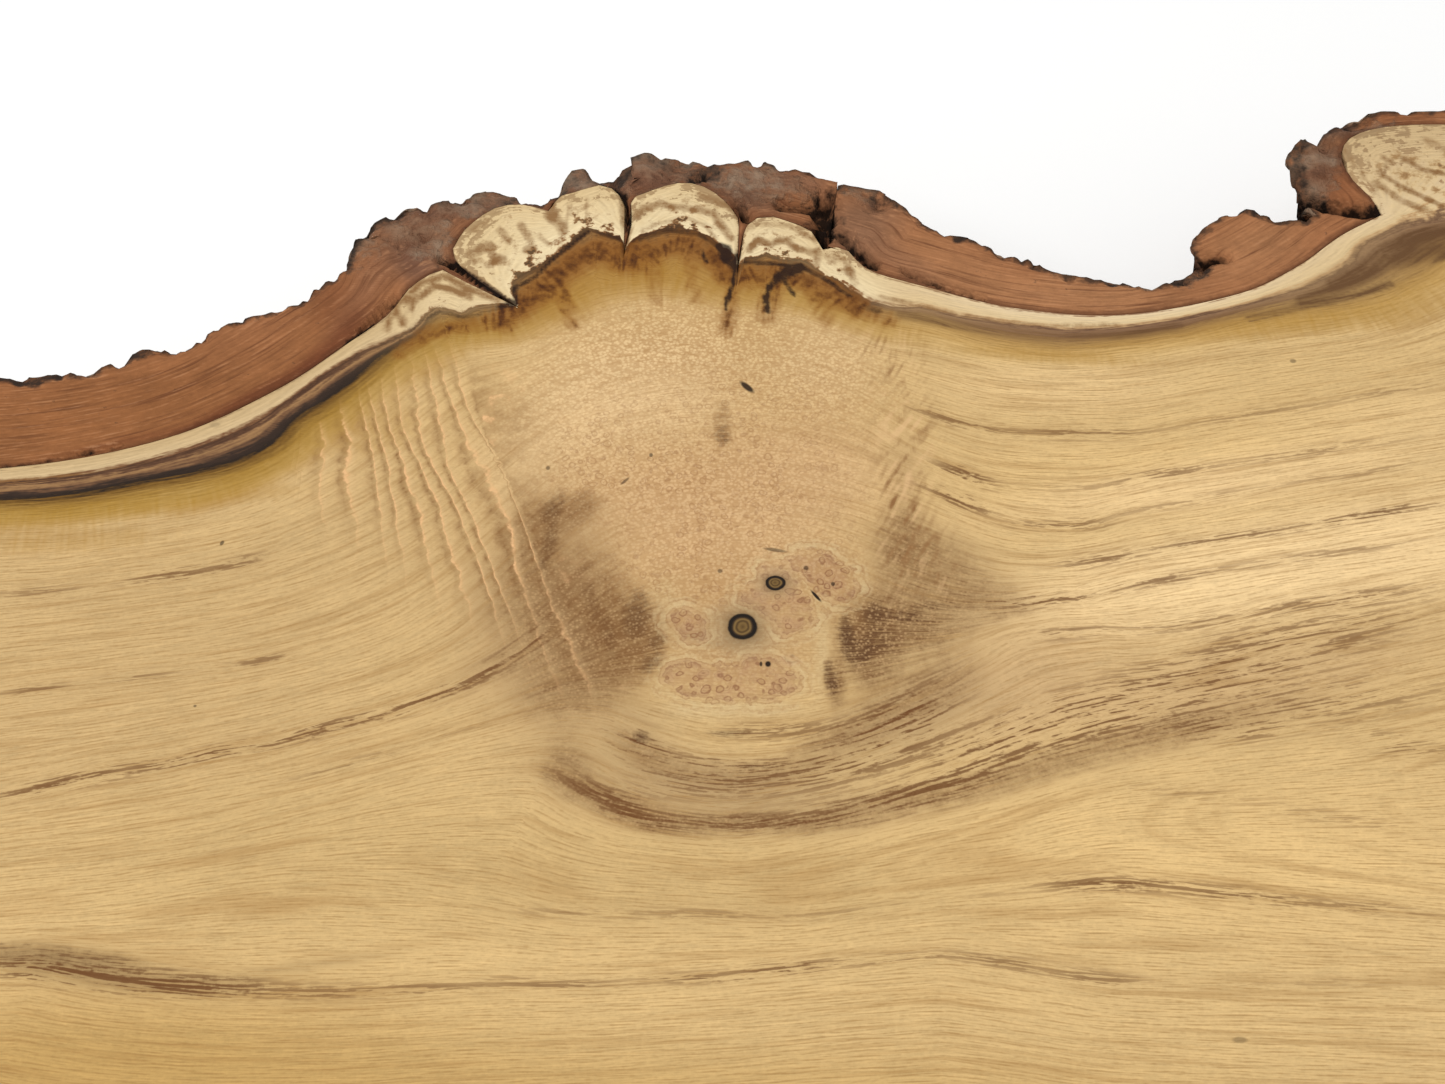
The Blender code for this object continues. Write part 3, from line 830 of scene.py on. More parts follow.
# Planed black locust. Ring-porous: earlywood pores cut lengthwise show as fine broken dashes,
# and the freshly cut heartwood is straw to gold under cream sapwood.
planed = {
    "pore": (0.42, 4.6, 10),  # width and length in mm of a streak, then how many places it blends
    "dash": (0.6, 9.0, 13),
    "ray": (0.9, 7.0, 8),  # across the rings
    "streak": (38.0, 1.3, 3.0),  # length and width in mm, then noise detail
    "band": (140.0, 7.0, 2.0),
    "fleck": (1 / 0.9, 0.7),  # cells per mm, then noise roughness
    "cloud": (0.11, 0.5),
    "patch": (0.3, 0.6),
    "squeeze": 0.4,  # places shrink to this share along a streak, which draws it out
    "lineWidth": 1.3,  # mm, of a dark growth line
    "bead": 0.85,  # mm, the light beads in the brown figure
    "eye": 2.6,  # mm, from bud eye to bud eye
    "wander": {"strong": 2.2 * mm, "slight": 0.7 * mm},  # how far outlines stray from a true oval
    "ripple": (0.3 / mm, 0.9 / mm, 0.3 / mm),  # cells of the ripples along each axis
    "roughness": (0.55, 0.6),  # in the pores and between them
    "sheen": 0.14,  # specular level of bare sanded wood
    "bump": 0.12 * mm,
    # How far each pattern shades the heartwood, round this level
    "level": 1.03,
    "grainTone": {"pore": 0.24, "dash": 0.10, "streak": 0.24, "band": 0.16},
    "cloudTone": {"fleck": 0.30, "cloud": 0.14, "patch": 0.18},
    "plainShare": 0.25,  # of the grain's tone that is left where the burl's figure covers it
    # Dark streaks: the pattern, the values at which they start and are full, and their cover
    "darkGrain": (("streak", 0.50, 0.32, 0.4), ("pore", 0.46, 0.1, 0.45)),
    "darkStreak": "#aa7d44",
    "dashColour": "#6c401c",
    "dashCover": 0.88,
    "eyeColour": "#8f6040",
    "eyeCover": 0.8,
    "budTone": ((0.0, 0.9), (0.09, 0.15), (0.22, 0.1), (0.32, 0.85), (0.42, 0)),  # from the middle out
    "rippleColour": "#b0824e",
    "rippleCover": 0.5,
    "beadColour": "#d3ab78",
    "beadCover": 0.55,
    "rightCurlDark": "#94693f",
    "rightCurlLight": "#eac08c",
    "speckColour": "#2a1c12",
    "sapwoodDepth": (4.7, 5.3),  # mm, the heartwood starts between these
}
# Stains: the layer that each follows, its colour, the patterns that break it up, the values at
# which it starts and is full, how far it covers, and the wood that takes it
brownBreaks = {"fleck": 0.6, "patch": 0.7, "pore": 0.5, "dash": 0.35}
figureStains = (
    ("gold", "#a87a28", {"streak": 0.5, "ray": 0.25}, 0.15, 1.25, 1.0, "all"),
    *(
        (f"brown{index}", hexColour, brownBreaks, 0.1, 1.0, 1.0, "all")
        for index, (hexColour, spots) in enumerate(brownWashes)
    ),
)
edgeStains = (
    ("rust", "#8c5519", {"ray": 0.5, "patch": 1.2}, 0.1, 1.1, 0.92, "heart"),
    ("rust", "#48250e", {"ray": 0.6, "patch": 1.6}, 0.7, 1.3, 0.92, "heart"),
    ("rootBrown", "#664629", {"pore": 0.5, "dash": 0.5, "streak": 1.8}, 0.2, 1.0, 0.92, "all"),
    ("knuckles", "#a57e50", {"patch": 2.6, "fleck": 0.5}, 0.95, 1.45, 0.92, "sapwood"),
    ("sapwoodBrown", "#8c6338", {"patch": 1.3, "fleck": 0.4}, 0.1, 0.85, 0.92, "sapwood"),
    ("fissures", "#26140b", {"patch": 0.9, "fleck": 0.3}, 0.3, 0.8, 0.92, "all"),
)
# Across one curly stripe: a bright orange thread with brown building up on its left
curlTone = (
    (0.0, "#e6b67e", 0.7), (0.09, "#e2bc88", 0.35), (0.34, "#b58c5c", 0.1),
    (0.72, "#845a30", 0.65), (0.88, "#94693c", 0.5), (0.95, "#efbc86", 0.85),
)
# Colour of the edge bands by depth below the bark in mm, each with how far it covers
edgeBands = {
    "leftEdge": (
        (0.0, "#a58862", 1), (0.4, "#c9ab7c", 1), (3.8, "#d6b98b", 1), (4.6, "#80583a", 1),
        (5.3, "#4f3423", 1), (6.0, "#664630", 1), (6.7, "#a27a50", 1), (7.5, "#745238", 1),
        (8.3, "#3c2c22", 1),
        (9.4, "#2b2018", 1), (10.6, "#74521f", 1), (13.0, "#a0782c", 0.85), (19.0, "#c4a050", 0),
    ),
    "rightEdge": (
        (0.0, "#a58060", 1), (0.4, "#e8cfa6", 1), (3.4, "#e4c898", 1), (4.3, "#c39c6e", 1),
        (5.1, "#6a4a36", 1), (5.9, "#8d6a4c", 1), (7.3, "#7d5a3a", 1), (8.6, "#96703f", 0.95),
        (11.0, "#a97f3e", 0.85), (14.0, "#c09448", 0.5), (19.0, "#d2ae70", 0),
    ),
    "burlEdge": (
        (0.0, "#a88a66", 1), (0.4, "#e8cfa0", 1), (4.4, "#f4dfb3", 1), (5.0, "#8a5a32", 1),
        (5.5, "#3a1f0e", 1), (8.0, "#5a3410", 1), (11.0, "#8a581f", 0.82), (16.0, "#aa7c31", 0.52),
        (20.0, "#bd9548", 0.15),
    ),
}
bandReach = 20.0  # mm, the depth that the edge bands' ramps span
ringReach = 125.0  # mm, likewise for the dark growth lines
# Depths below the bark, in mm, of the rings that dried dark
darkRings = (38, 50, 62, 75, 88, 99, 112, 119)

# Cut-through pin knots: pixel of the middle, half length, half width, turn
knots = ((742.5, 626.5, 14, 12.5, 0), (775.5, 583, 9.5, 6.8, -5))
knotRings = (  # distance in knot radii over three, colour, cover
    (0.0, "#5d4526", 1), (0.10, "#7d6136", 1), (0.15, "#503a20", 1), (0.20, "#86693c", 1),
    (0.245, "#3c2c1d", 1),
    (0.28, "#1e1711", 1), (0.335, "#231a13", 1), (0.375, "#80694a", 0.6), (0.55, "#9c8462", 0.35),
    (1.0, "#c0a47c", 0),
)
# Contour lines of the nests by depth inside them in mm, from nestReach outside to as much inside
nestReach = 5.0
nestRings = (
    (-4.6, "#d9bb88", 0), (-3.8, "#dcc08e", 0.55), (-3.2, "#a87e55", 0.45), (-2.8, "#d9bd8b", 0.6),
    (-1.9, "#dfc593", 0.7),
    (-1.4, "#9f724b", 0.65), (-1.1, "#c9a579", 0.6), (-0.6, "#cba87c", 0.6), (-0.2, "#93664a", 0.8),
    (0.2, "#b08766", 0.6),
    (0.6, "#9a6f50", 0.6), (1.1, "#b58a69", 0.55), (4.6, "#b0835f", 0.4),
)
eyeRings = (  # distance in eye radii over three, colour, cover
    (0.0, "#6d4630", 0.9), (0.07, "#80573d", 0.7), (0.14, "#c79e78", 0.6), (0.23, "#b78c68", 0.5),
    (0.30, "#875c40", 0.75), (0.36, "#cfa980", 0.6), (0.5, "#cfa980", 0),
)
# Small dark checks, holes and specks: pixel of the middle, half length, half width, turn, strength
specks = (
    (747, 387, 8, 2.6, 40, 0.95), (816, 596, 7, 1.4, 48, 1.0), (768, 664, 2.8, 2.8, 0, 1.0),
    (761, 664, 1.4, 2.4, 0, 0.9),
    (775, 550, 11, 1.6, 8, 0.6), (806, 568, 2.4, 2.2, 0, 0.7), (833, 584, 2.0, 2.0, 0, 0.8),
    (651, 455, 1.8, 1.8, 0, 0.7), (625, 481, 5, 1.2, -40, 0.6), (548, 468, 2, 2, 0, 0.6),
    (222, 543, 2.6, 1.6, -60, 0.7), (195, 706, 1.6, 1.2, 0, 0.6), (1293, 361, 3, 2, 0, 0.5),
    (132, 444, 6, 3, -20, 0.3),
    (215, 425, 5, 2.6, 0, 0.2), (1240, 1040, 7, 3, 0, 0.4), (720, 571, 2.4, 2, 0, 0.6),
)


# Distance from the middle of an oval on the planed face, in its own radii. It runs on through
# the board if deep is large.
def ovalDistance(tree, place, oval, deep):
    x, y, long, wide, turn = oval
    c, s = math.cos(math.radians(turn)), math.sin(math.radians(turn))
    middle = onFace(x, y)
    tip = onFace(x + long * c, y + long * s) - middle
    side = onFace(x - wide * s, y + wide * c) - middle
    inside = addNode(
        tree,
        "ShaderNodeMapping",
        {
            "Vector": place,
            "Location": (*middle, top),
            "Rotation": (0, 0, math.atan2(tip[1], tip[0])),
            "Scale": (np.hypot(*tip), np.hypot(*side), deep),
        },
        vector_type="TEXTURE",
    )
    return addNode(tree, "ShaderNodeVectorMath", {0: inside[0]}, operation="LENGTH")["Value"]


def rampStops(rows, reach, start=0.0):
    return [((place - start) / (reach - start), linear(hexColour, cover)) for place, hexColour, cover in rows]


def greyStops(rows):
    return [(place, (grey, grey, grey, 1)) for place, grey in rows]


# Noise blended along a direction, as streaks around 0.5
def streaksAlong(tree, place, direction, squeeze, width, length, count):
    place, direction = (
        addNode(tree, "ShaderNodeVectorMath", {0: source, 1: squeeze}, operation="MULTIPLY")[0]
        for source in (place, direction)
    )
    total = 0.0
    for index in range(count):
        shift = (index / (count - 1) - 0.5) * length * mm
        there = addNode(
            tree,
            "ShaderNodeVectorMath",
            {0: direction, 1: (shift, shift, shift), 2: place},
            operation="MULTIPLY_ADD",
        )[0]
        sample = addNode(
            tree, "ShaderNodeTexNoise", {"Vector": there, "Scale": 1 / (width * mm), "Detail": 0.0}
        )[0]
        total = addNode(tree, "ShaderNodeMath", {0: total, 1: sample}, operation="ADD")[0]
    spread = 0.42 * count**0.5
    limits = {"Value": total, 1: count / 2 - spread, 2: count / 2 + spread}
    return addNode(tree, "ShaderNodeMapRange", limits, clamp=False)[0]


# Noise that is long in the piece and short from layer to layer, which are counted by depth in mm
def layersAlong(tree, place, depth, length, width, detail, roughness):
    along = addNode(
        tree, "ShaderNodeVectorMath", {"Vector": place, "Scale": 1 / (length * mm)}, operation="SCALE"
    )[0]
    count = addNode(tree, "ShaderNodeMath", {0: depth, 1: width}, operation="DIVIDE")[0]
    settings = {"Vector": along, "W": count, "Scale": 1.0, "Detail": detail, "Roughness": roughness}
    return addNode(tree, "ShaderNodeTexNoise", settings, noise_dimensions="4D")[0]


# Lays stains over a colour, as the rows of figureStains and edgeStains say
def stained(tree, colour, layer, patterns, rows, woods):
    for name, hexColour, strengths, start, end, most, wood in rows:
        cover = swayed(tree, layer[name], patterns, strengths)
        cover = addNode(tree, "ShaderNodeMapRange", {"Value": cover, 1: start, 2: end, 4: most})[0]
        near = addNode(tree, "ShaderNodeMapRange", {"Value": layer[name], 1: 0.0, 2: 0.4})[0]
        cover = scaledBy(tree, cover, near, woods[wood])
        colour = addNode(
            tree, "ShaderNodeMix", {0: cover, 6: colour, 7: linear(hexColour)}, data_type="RGBA"
        )[2]
    return colour


def boardMaterial():
    material, tree = newMaterial("planed black locust")
    place = addNode(tree, "ShaderNodeTexCoord")["Object"]
    names = ["ringDepth", "curlCount", "nestDepth", *boardSpots, *boardStrokes]
    names += [f"brown{index}" for index in range(len(brownWashes))]
    layer = {name: addNode(tree, "ShaderNodeAttribute", attribute_name=name)["Fac"] for name in names}
    colour = addNode(tree, "ShaderNodeAttribute", attribute_name="tint")["Color"]
    flow = addNode(tree, "ShaderNodeAttribute", attribute_name="flow")["Vector"]
    across = addNode(tree, "ShaderNodeVectorMath", {0: flow, 1: (0, 0, 1)}, operation="CROSS_PRODUCT")[0]

    # Grain: streaks along the rings, rays across them, and layers from ring to ring
    squeeze = planed["squeeze"]
    patterns = {
        "pore": streaksAlong(tree, place, flow, (squeeze, 1, 1), *planed["pore"]),
        "dash": streaksAlong(tree, place, flow, (squeeze, 1, 1), *planed["dash"]),
        "ray": streaksAlong(tree, place, across, (1, squeeze, 1), *planed["ray"]),
        "streak": layersAlong(tree, place, layer["ringDepth"], *planed["streak"], 0.62),
        "band": layersAlong(tree, place, layer["ringDepth"], *planed["band"], 0.62),
    }
    for name in ("fleck", "cloud", "patch"):
        cells, roughness = planed[name]
        settings = {"Vector": place, "Scale": cells / mm, "Detail": 3.0, "Roughness": roughness}
        patterns[name] = addNode(tree, "ShaderNodeTexNoise", settings)[0]
    pore, cloud, patch = patterns["pore"], patterns["cloud"], patterns["patch"]

    # Streaks of the heartwood, faded out where the burl's figure takes over
    figure = addNode(tree, "ShaderNodeMath", {0: layer["eyes"], 1: layer["ripples"]}, operation="MAXIMUM")[0]
    plain = addNode(tree, "ShaderNodeMath", {0: 1.0, 1: figure}, operation="SUBTRACT", use_clamp=True)[0]
    left = planed["plainShare"]
    plain = addNode(tree, "ShaderNodeMath", {0: plain, 1: 1 - left, 2: left}, operation="MULTIPLY_ADD")[0]
    tone = swayed(tree, 0.0, patterns, planed["grainTone"])
    tone = {0: tone, 1: plain, 2: planed["level"]}
    tone = addNode(tree, "ShaderNodeMath", tone, operation="MULTIPLY_ADD")[0]
    tone = swayed(tree, tone, patterns, planed["cloudTone"])
    colour = addNode(tree, "ShaderNodeVectorMath", {"Vector": colour, "Scale": tone}, operation="SCALE")[0]
    for name, start, end, most in planed["darkGrain"]:
        dark = addNode(tree, "ShaderNodeMapRange", {"Value": patterns[name], 1: start, 2: end, 4: most})[0]
        dark = scaledBy(tree, dark, plain)
        colour = addNode(
            tree, "ShaderNodeMix", {0: dark, 6: colour, 7: linear(planed["darkStreak"])}, data_type="RGBA"
        )[2]

    # Ripples across the burl
    ripple = addNode(tree, "ShaderNodeMapping", {"Vector": place, "Scale": planed["ripple"]})[0]
    ripple = addNode(
        tree, "ShaderNodeTexNoise", {"Vector": ripple, "Scale": 1.0, "Detail": 4.0, "Distortion": 0.8}
    )[0]
    ripple = addNode(tree, "ShaderNodeMapRange", {"Value": ripple, 1: 0.50, 2: 0.32})[0]
    ripple = scaledBy(tree, ripple, layer["ripples"], planed["rippleCover"])
    colour = addNode(
        tree, "ShaderNodeMix", {0: ripple, 6: colour, 7: linear(planed["rippleColour"])}, data_type="RGBA"
    )[2]

    # Bud eyes: small rings with a darker middle, and broken lines between them
    strayed = {}
    for name, reach in planed["wander"].items():
        stray = {"Vector": place, "Scale": 0.3 / mm, "Detail": 3.0}
        stray = addNode(tree, "ShaderNodeTexNoise", stray)["Color"]
        stray = addNode(tree, "ShaderNodeVectorMath", {0: stray, 1: (0.5, 0.5, 0.5)}, operation="SUBTRACT")[0]
        stray = addNode(tree, "ShaderNodeVectorMath", {"Vector": stray, "Scale": reach}, operation="SCALE")[0]
        strayed[name] = addNode(tree, "ShaderNodeVectorMath", {0: place, 1: stray}, operation="ADD")[0]
    cells = {"Vector": strayed["strong"], "Scale": 1 / (planed["eye"] * mm)}
    bud = addNode(tree, "ShaderNodeTexVoronoi", cells)["Distance"]
    bud = addNode(tree, "ShaderNodeValToRGB", {0: bud}, greyStops(planed["budTone"]))[0]
    between = addNode(tree, "ShaderNodeTexVoronoi", cells, feature="DISTANCE_TO_EDGE")["Distance"]
    between = addNode(tree, "ShaderNodeMapRange", {"Value": between, 1: 0.10, 2: 0.0, 4: 0.8})[0]
    patchy = addNode(tree, "ShaderNodeMapRange", {"Value": cloud, 1: 0.38, 2: 0.54})[0]
    sparse = addNode(tree, "ShaderNodeMapRange", {"Value": patch, 1: 0.50, 2: 0.62})[0]
    eye = scaledBy(tree, bud, patchy)
    between = scaledBy(tree, between, sparse)
    eye = addNode(tree, "ShaderNodeMath", {0: eye, 1: between}, operation="MAXIMUM")[0]
    eye = scaledBy(tree, eye, layer["eyes"], planed["eyeCover"])
    colour = addNode(
        tree, "ShaderNodeMix", {0: eye, 6: colour, 7: linear(planed["eyeColour"])}, data_type="RGBA"
    )[2]

    # Gold and the brown figure, then scales over the burl and light beads in its brown
    colour = stained(tree, colour, layer, patterns, figureStains, {"all": 1.0})
    bead = {"Vector": strayed["slight"], "Scale": 1 / (planed["bead"] * mm)}
    bead = addNode(tree, "ShaderNodeTexVoronoi", bead)["Distance"]
    scale = addNode(tree, "ShaderNodeMapRange", {"Value": bead, 1: 0.32, 2: 0.62, 4: planed["beadCover"]})[0]
    scale = addNode(tree, "ShaderNodeMath", {0: scale, 1: figure}, operation="MULTIPLY", use_clamp=True)[0]
    bead = addNode(tree, "ShaderNodeMapRange", {"Value": bead, 1: 0.50, 2: 0.15, 4: planed["beadCover"]})[0]
    beaded = scaledBy(tree, layer["eyes"], 0.6)
    beaded = addNode(tree, "ShaderNodeMath", {0: beaded, 1: layer["brown0"]}, operation="MAXIMUM")[0]
    for cover, name in ((scale, "rippleColour"), (scaledBy(tree, bead, beaded), "beadColour")):
        colour = addNode(
            tree, "ShaderNodeMix", {0: cover, 6: colour, 7: linear(planed[name])}, data_type="RGBA"
        )[2]

    # Curly stripes, broken up by the grain, and fainter ones on the right
    stripe = scaledBy(tree, layer["curlCount"], 1.35)
    for source, strength in ((cloud, 0.9), (patch, 0.35)):
        stripe = addNode(
            tree, "ShaderNodeMath", {0: source, 1: strength, 2: stripe}, operation="MULTIPLY_ADD"
        )[0]
    stripe = addNode(tree, "ShaderNodeMath", {0: stripe}, operation="FRACT")[0]
    stripe = addNode(tree, "ShaderNodeValToRGB", {0: stripe}, rampStops(curlTone, 1.0))
    broken = addNode(tree, "ShaderNodeMapRange", {"Value": pore, 1: 0.2, 2: 0.8, 3: 0.6, 4: 1.2})[0]
    uneven = addNode(tree, "ShaderNodeMapRange", {"Value": patch, 1: 0.34, 2: 0.56, 3: 0.35, 4: 1.2})[0]
    fine = addNode(tree, "ShaderNodeMapRange", {"Value": patterns["ray"], 1: 0.52, 2: 0.95})[0]
    bright = addNode(tree, "ShaderNodeMapRange", {"Value": patterns["ray"], 1: 0.36, 2: 0.05, 4: 0.6})[0]
    for cover, factor, shade in (
        (scaledBy(tree, stripe["Alpha"], layer["curl"], broken), uneven, stripe["Color"]),
        (scaledBy(tree, fine, uneven), layer["rightCurl"], linear(planed["rightCurlDark"])),
        (bright, layer["rightCurl"], linear(planed["rightCurlLight"])),
    ):
        cover = {0: cover, 1: factor}
        cover = addNode(tree, "ShaderNodeMath", cover, operation="MULTIPLY", use_clamp=True)[0]
        colour = addNode(tree, "ShaderNodeMix", {0: cover, 6: colour, 7: shade}, data_type="RGBA")[2]

    # Growth lines that dried dark, broken into dashes
    half = planed["lineWidth"] / ringReach
    stops = [(0.0, 0)]
    for depth in darkRings:
        middle = depth / ringReach
        stops += [(middle - half, 0), (middle, 1), (middle + half, 0)]
    line = addNode(tree, "ShaderNodeMath", {0: layer["ringDepth"], 1: ringReach}, operation="DIVIDE")[0]
    line = addNode(tree, "ShaderNodeValToRGB", {0: line}, greyStops(stops))[0]
    dash = addNode(tree, "ShaderNodeMath", {0: line, 1: 0.42, 2: 0.08}, operation="MULTIPLY_ADD")[0]
    dash = addNode(
        tree, "ShaderNodeMath", {0: dash, 1: layer["dashes"], 2: patterns["dash"]}, operation="MULTIPLY_ADD"
    )[0]
    dash = swayed(tree, dash, patterns, {"pore": 0.8, "fleck": 0.4})
    dash = addNode(
        tree, "ShaderNodeMapRange", {"Value": dash, 1: 0.57, 2: 0.95}, interpolation_type="SMOOTHSTEP"
    )[0]
    dash = scaledBy(tree, dash, layer["dashes"], planed["dashCover"])
    colour = addNode(
        tree, "ShaderNodeMix", {0: dash, 6: colour, 7: linear(planed["dashColour"])}, data_type="RGBA"
    )[2]

    # Sapwood, stain and gold along the edges. Their borders follow the grain, run with the rays
    # under the burl's rust, and are ragged at the knuckles.
    nearBark = swayed(tree, layer["ringDepth"], patterns, {"pore": 1.0, "dash": 1.0, "patch": 0.8})
    fibres = swayed(tree, 0.0, patterns, {"ray": 3.0})
    ragged = swayed(tree, 0.0, patterns, {"patch": 11.0, "cloud": 7.0})
    for shift in (
        scaledBy(tree, fibres, layer["burlEdge"], layer["rust"]),
        scaledBy(tree, ragged, layer["knuckles"]),
    ):
        nearBark = addNode(tree, "ShaderNodeMath", {0: nearBark, 1: shift}, operation="ADD")[0]
    nearBark = addNode(tree, "ShaderNodeMath", {0: nearBark, 1: bandReach}, operation="DIVIDE")[0]
    elsewhere = addNode(
        tree, "ShaderNodeMath", {0: layer["rightEdge"], 1: layer["burlEdge"]}, operation="MAXIMUM"
    )[0]
    elsewhere = addNode(tree, "ShaderNodeMath", {0: 1.0, 1: elsewhere}, operation="SUBTRACT")[0]
    shade = addNode(tree, "ShaderNodeMapRange", {"Value": pore, 3: 0.84, 4: 1.14}, clamp=False)[0]
    for name, rows in edgeBands.items():
        band = addNode(tree, "ShaderNodeValToRGB", {0: nearBark}, rampStops(rows, bandReach))
        cover = scaledBy(tree, band["Alpha"], layer.get(name, elsewhere))
        tone = {"Vector": band["Color"], "Scale": shade}
        tone = addNode(tree, "ShaderNodeVectorMath", tone, operation="SCALE")[0]
        colour = addNode(tree, "ShaderNodeMix", {0: cover, 6: colour, 7: tone}, data_type="RGBA")[2]

    # Rust that runs down from the knuckles, brown bands in the sapwood, and dark fissures
    start, end = (depth / bandReach for depth in planed["sapwoodDepth"])
    heart = addNode(tree, "ShaderNodeMapRange", {"Value": nearBark, 1: start, 2: end})[0]
    sapwood = addNode(tree, "ShaderNodeMath", {0: 1.0, 1: heart}, operation="SUBTRACT")[0]
    woods = {"all": 1.0, "heart": heart, "sapwood": sapwood}
    colour = stained(tree, colour, layer, patterns, edgeStains, woods)

    # Nests of buds with contour lines round them, then the buds
    contour = swayed(tree, layer["nestDepth"], patterns, {"patch": 4.5})
    contour = addNode(
        tree, "ShaderNodeMapRange", {"Value": contour, 1: -nestReach, 2: nestReach}, clamp=False
    )[0]
    contour = addNode(tree, "ShaderNodeValToRGB", {0: contour}, rampStops(nestRings, nestReach, -nestReach))
    cover = addNode(tree, "ShaderNodeMapRange", {"Value": patch, 1: 0.36, 2: 0.62, 3: 0.15, 4: 0.85})[0]
    cover = scaledBy(tree, contour["Alpha"], cover)
    inNest = addNode(tree, "ShaderNodeMapRange", {"Value": layer["nestDepth"], 1: -2.0, 2: 1.0, 4: 0.9})[0]
    nearest = 9.0
    for oval in budEyes:
        distance = ovalDistance(tree, strayed["strong"], oval, 1.0)
        nearest = addNode(tree, "ShaderNodeMath", {0: nearest, 1: distance}, operation="MINIMUM")[0]
    nearest = addNode(tree, "ShaderNodeMath", {0: nearest, 1: 3.0}, operation="DIVIDE")[0]
    rings = addNode(tree, "ShaderNodeValToRGB", {0: nearest}, rampStops(eyeRings, 1.0))
    for share, shade in (
        (cover, contour["Color"]),
        (scaledBy(tree, inNest, bud), linear(planed["eyeColour"])),
        (scaledBy(tree, rings["Alpha"], cover), rings["Color"]),
    ):
        colour = addNode(tree, "ShaderNodeMix", {0: share, 6: colour, 7: shade}, data_type="RGBA")[2]

    # Pin knots, then the small checks and holes
    for knot in knots:
        distance = ovalDistance(tree, strayed["slight"], knot, 1.0)
        distance = addNode(tree, "ShaderNodeMath", {0: distance, 1: 3.0}, operation="DIVIDE")[0]
        rings = addNode(tree, "ShaderNodeValToRGB", {0: distance}, rampStops(knotRings, 1.0))
        colour = addNode(
            tree, "ShaderNodeMix", {0: rings["Alpha"], 6: colour, 7: rings["Color"]}, data_type="RGBA"
        )[2]
    pits = 0.0
    for *oval, strength in specks:
        distance = ovalDistance(tree, place, oval, 4 * mm)
        pit = addNode(tree, "ShaderNodeMapRange", {"Value": distance, 1: 1.3, 2: 0.75, 4: strength})[0]
        pits = addNode(tree, "ShaderNodeMath", {0: pits, 1: pit}, operation="MAXIMUM")[0]
    colour = addNode(
        tree, "ShaderNodeMix", {0: pits, 6: colour, 7: linear(planed["speckColour"])}, data_type="RGBA"
    )[2]

    # Sanded surface: the pores lie a little lower
    bump = {"Strength": 0.5, "Distance": planed["bump"], "Height": pore}
    bump = addNode(tree, "ShaderNodeBump", bump)[0]
    low, high = planed["roughness"]
    rough = addNode(tree, "ShaderNodeMapRange", {"Value": pore, 3: low, 4: high})[0]
    shader = addNode(
        tree,
        "ShaderNodeBsdfPrincipled",
        {"Base Color": colour, "Roughness": rough, "Specular IOR Level": planed["sheen"], "Normal": bump},
    )
    addNode(tree, "ShaderNodeOutputMaterial", {"Surface": shader[0]})
    return material


# The knuckles all but touch. Each crevice between them, and the split in the far bark: the pixels
# of its mouth and its tip, its half width at the mouth, and the share of the width that is kept.
crevices = (((629, 198), (624, 254), 2.6 * mm, 0.25), ((741, 212), (738, 263), 2.2 * mm, 0.25))
barkSplit = ((838, 180), (815, 330), 6.0 * mm, 0.02)
creviceReach = 5 * mm  # the wood on both sides swells over this width


# Moves the places beside each gap towards its middle
def narrowed(places, gaps):
    places = places.copy()
    for mouth, tip, half, kept in gaps:
        mouth, tip = onFace(*mouth), onFace(*tip)
        span = np.linalg.norm(tip - mouth)
        ahead = (tip - mouth) / span
        side = np.array([ahead[1], -ahead[0]])
        along = (places - mouth) @ ahead / span
        gap = (places - mouth) @ side
        width = half * np.clip(1 - along, 0, 1)
        moved = np.where(
            abs(gap) < width, kept * abs(gap),
            kept * width + (abs(gap) - width) * (width + creviceReach - kept * width) / creviceReach,
        )
        moved = np.where(abs(gap) > width + creviceReach, abs(gap), moved)
        share = np.clip(1 + along * span / creviceReach, 0, 1) * (along < 1)
        places += ((np.sign(gap) * moved - gap) * share)[:, None] * side
    return places


# Turns a shape into a piece that stands in for a node of the solids, and gives its mesh
def finished(name, bm, material, node):
    mesh = bpy.data.meshes.new(name)
    bm.normal_update()
    bm.to_mesh(mesh)
    bm.free()
    mesh.materials.append(material)
    piece = bpy.data.objects.new(name, mesh)
    bpy.context.scene.collection.objects.link(piece)
    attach(piece, "root")
    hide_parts(node)
    triangles = sum(len(face.vertices) - 2 for face in mesh.polygons)
    print(f"{name}: {triangles} triangles")
    return mesh


def addBoard():
    mesh = finished("planedBoard", boardMesh(), boardMaterial(), "slab_wood")
    co = placesOf(mesh)
    addLayers(mesh, *boardLayers(co))
    co[:, :2] = narrowed(co[:, :2], crevices)
    mesh.vertices.foreach_set("co", co.ravel())


addBoard()
print("board ready")

# The bark

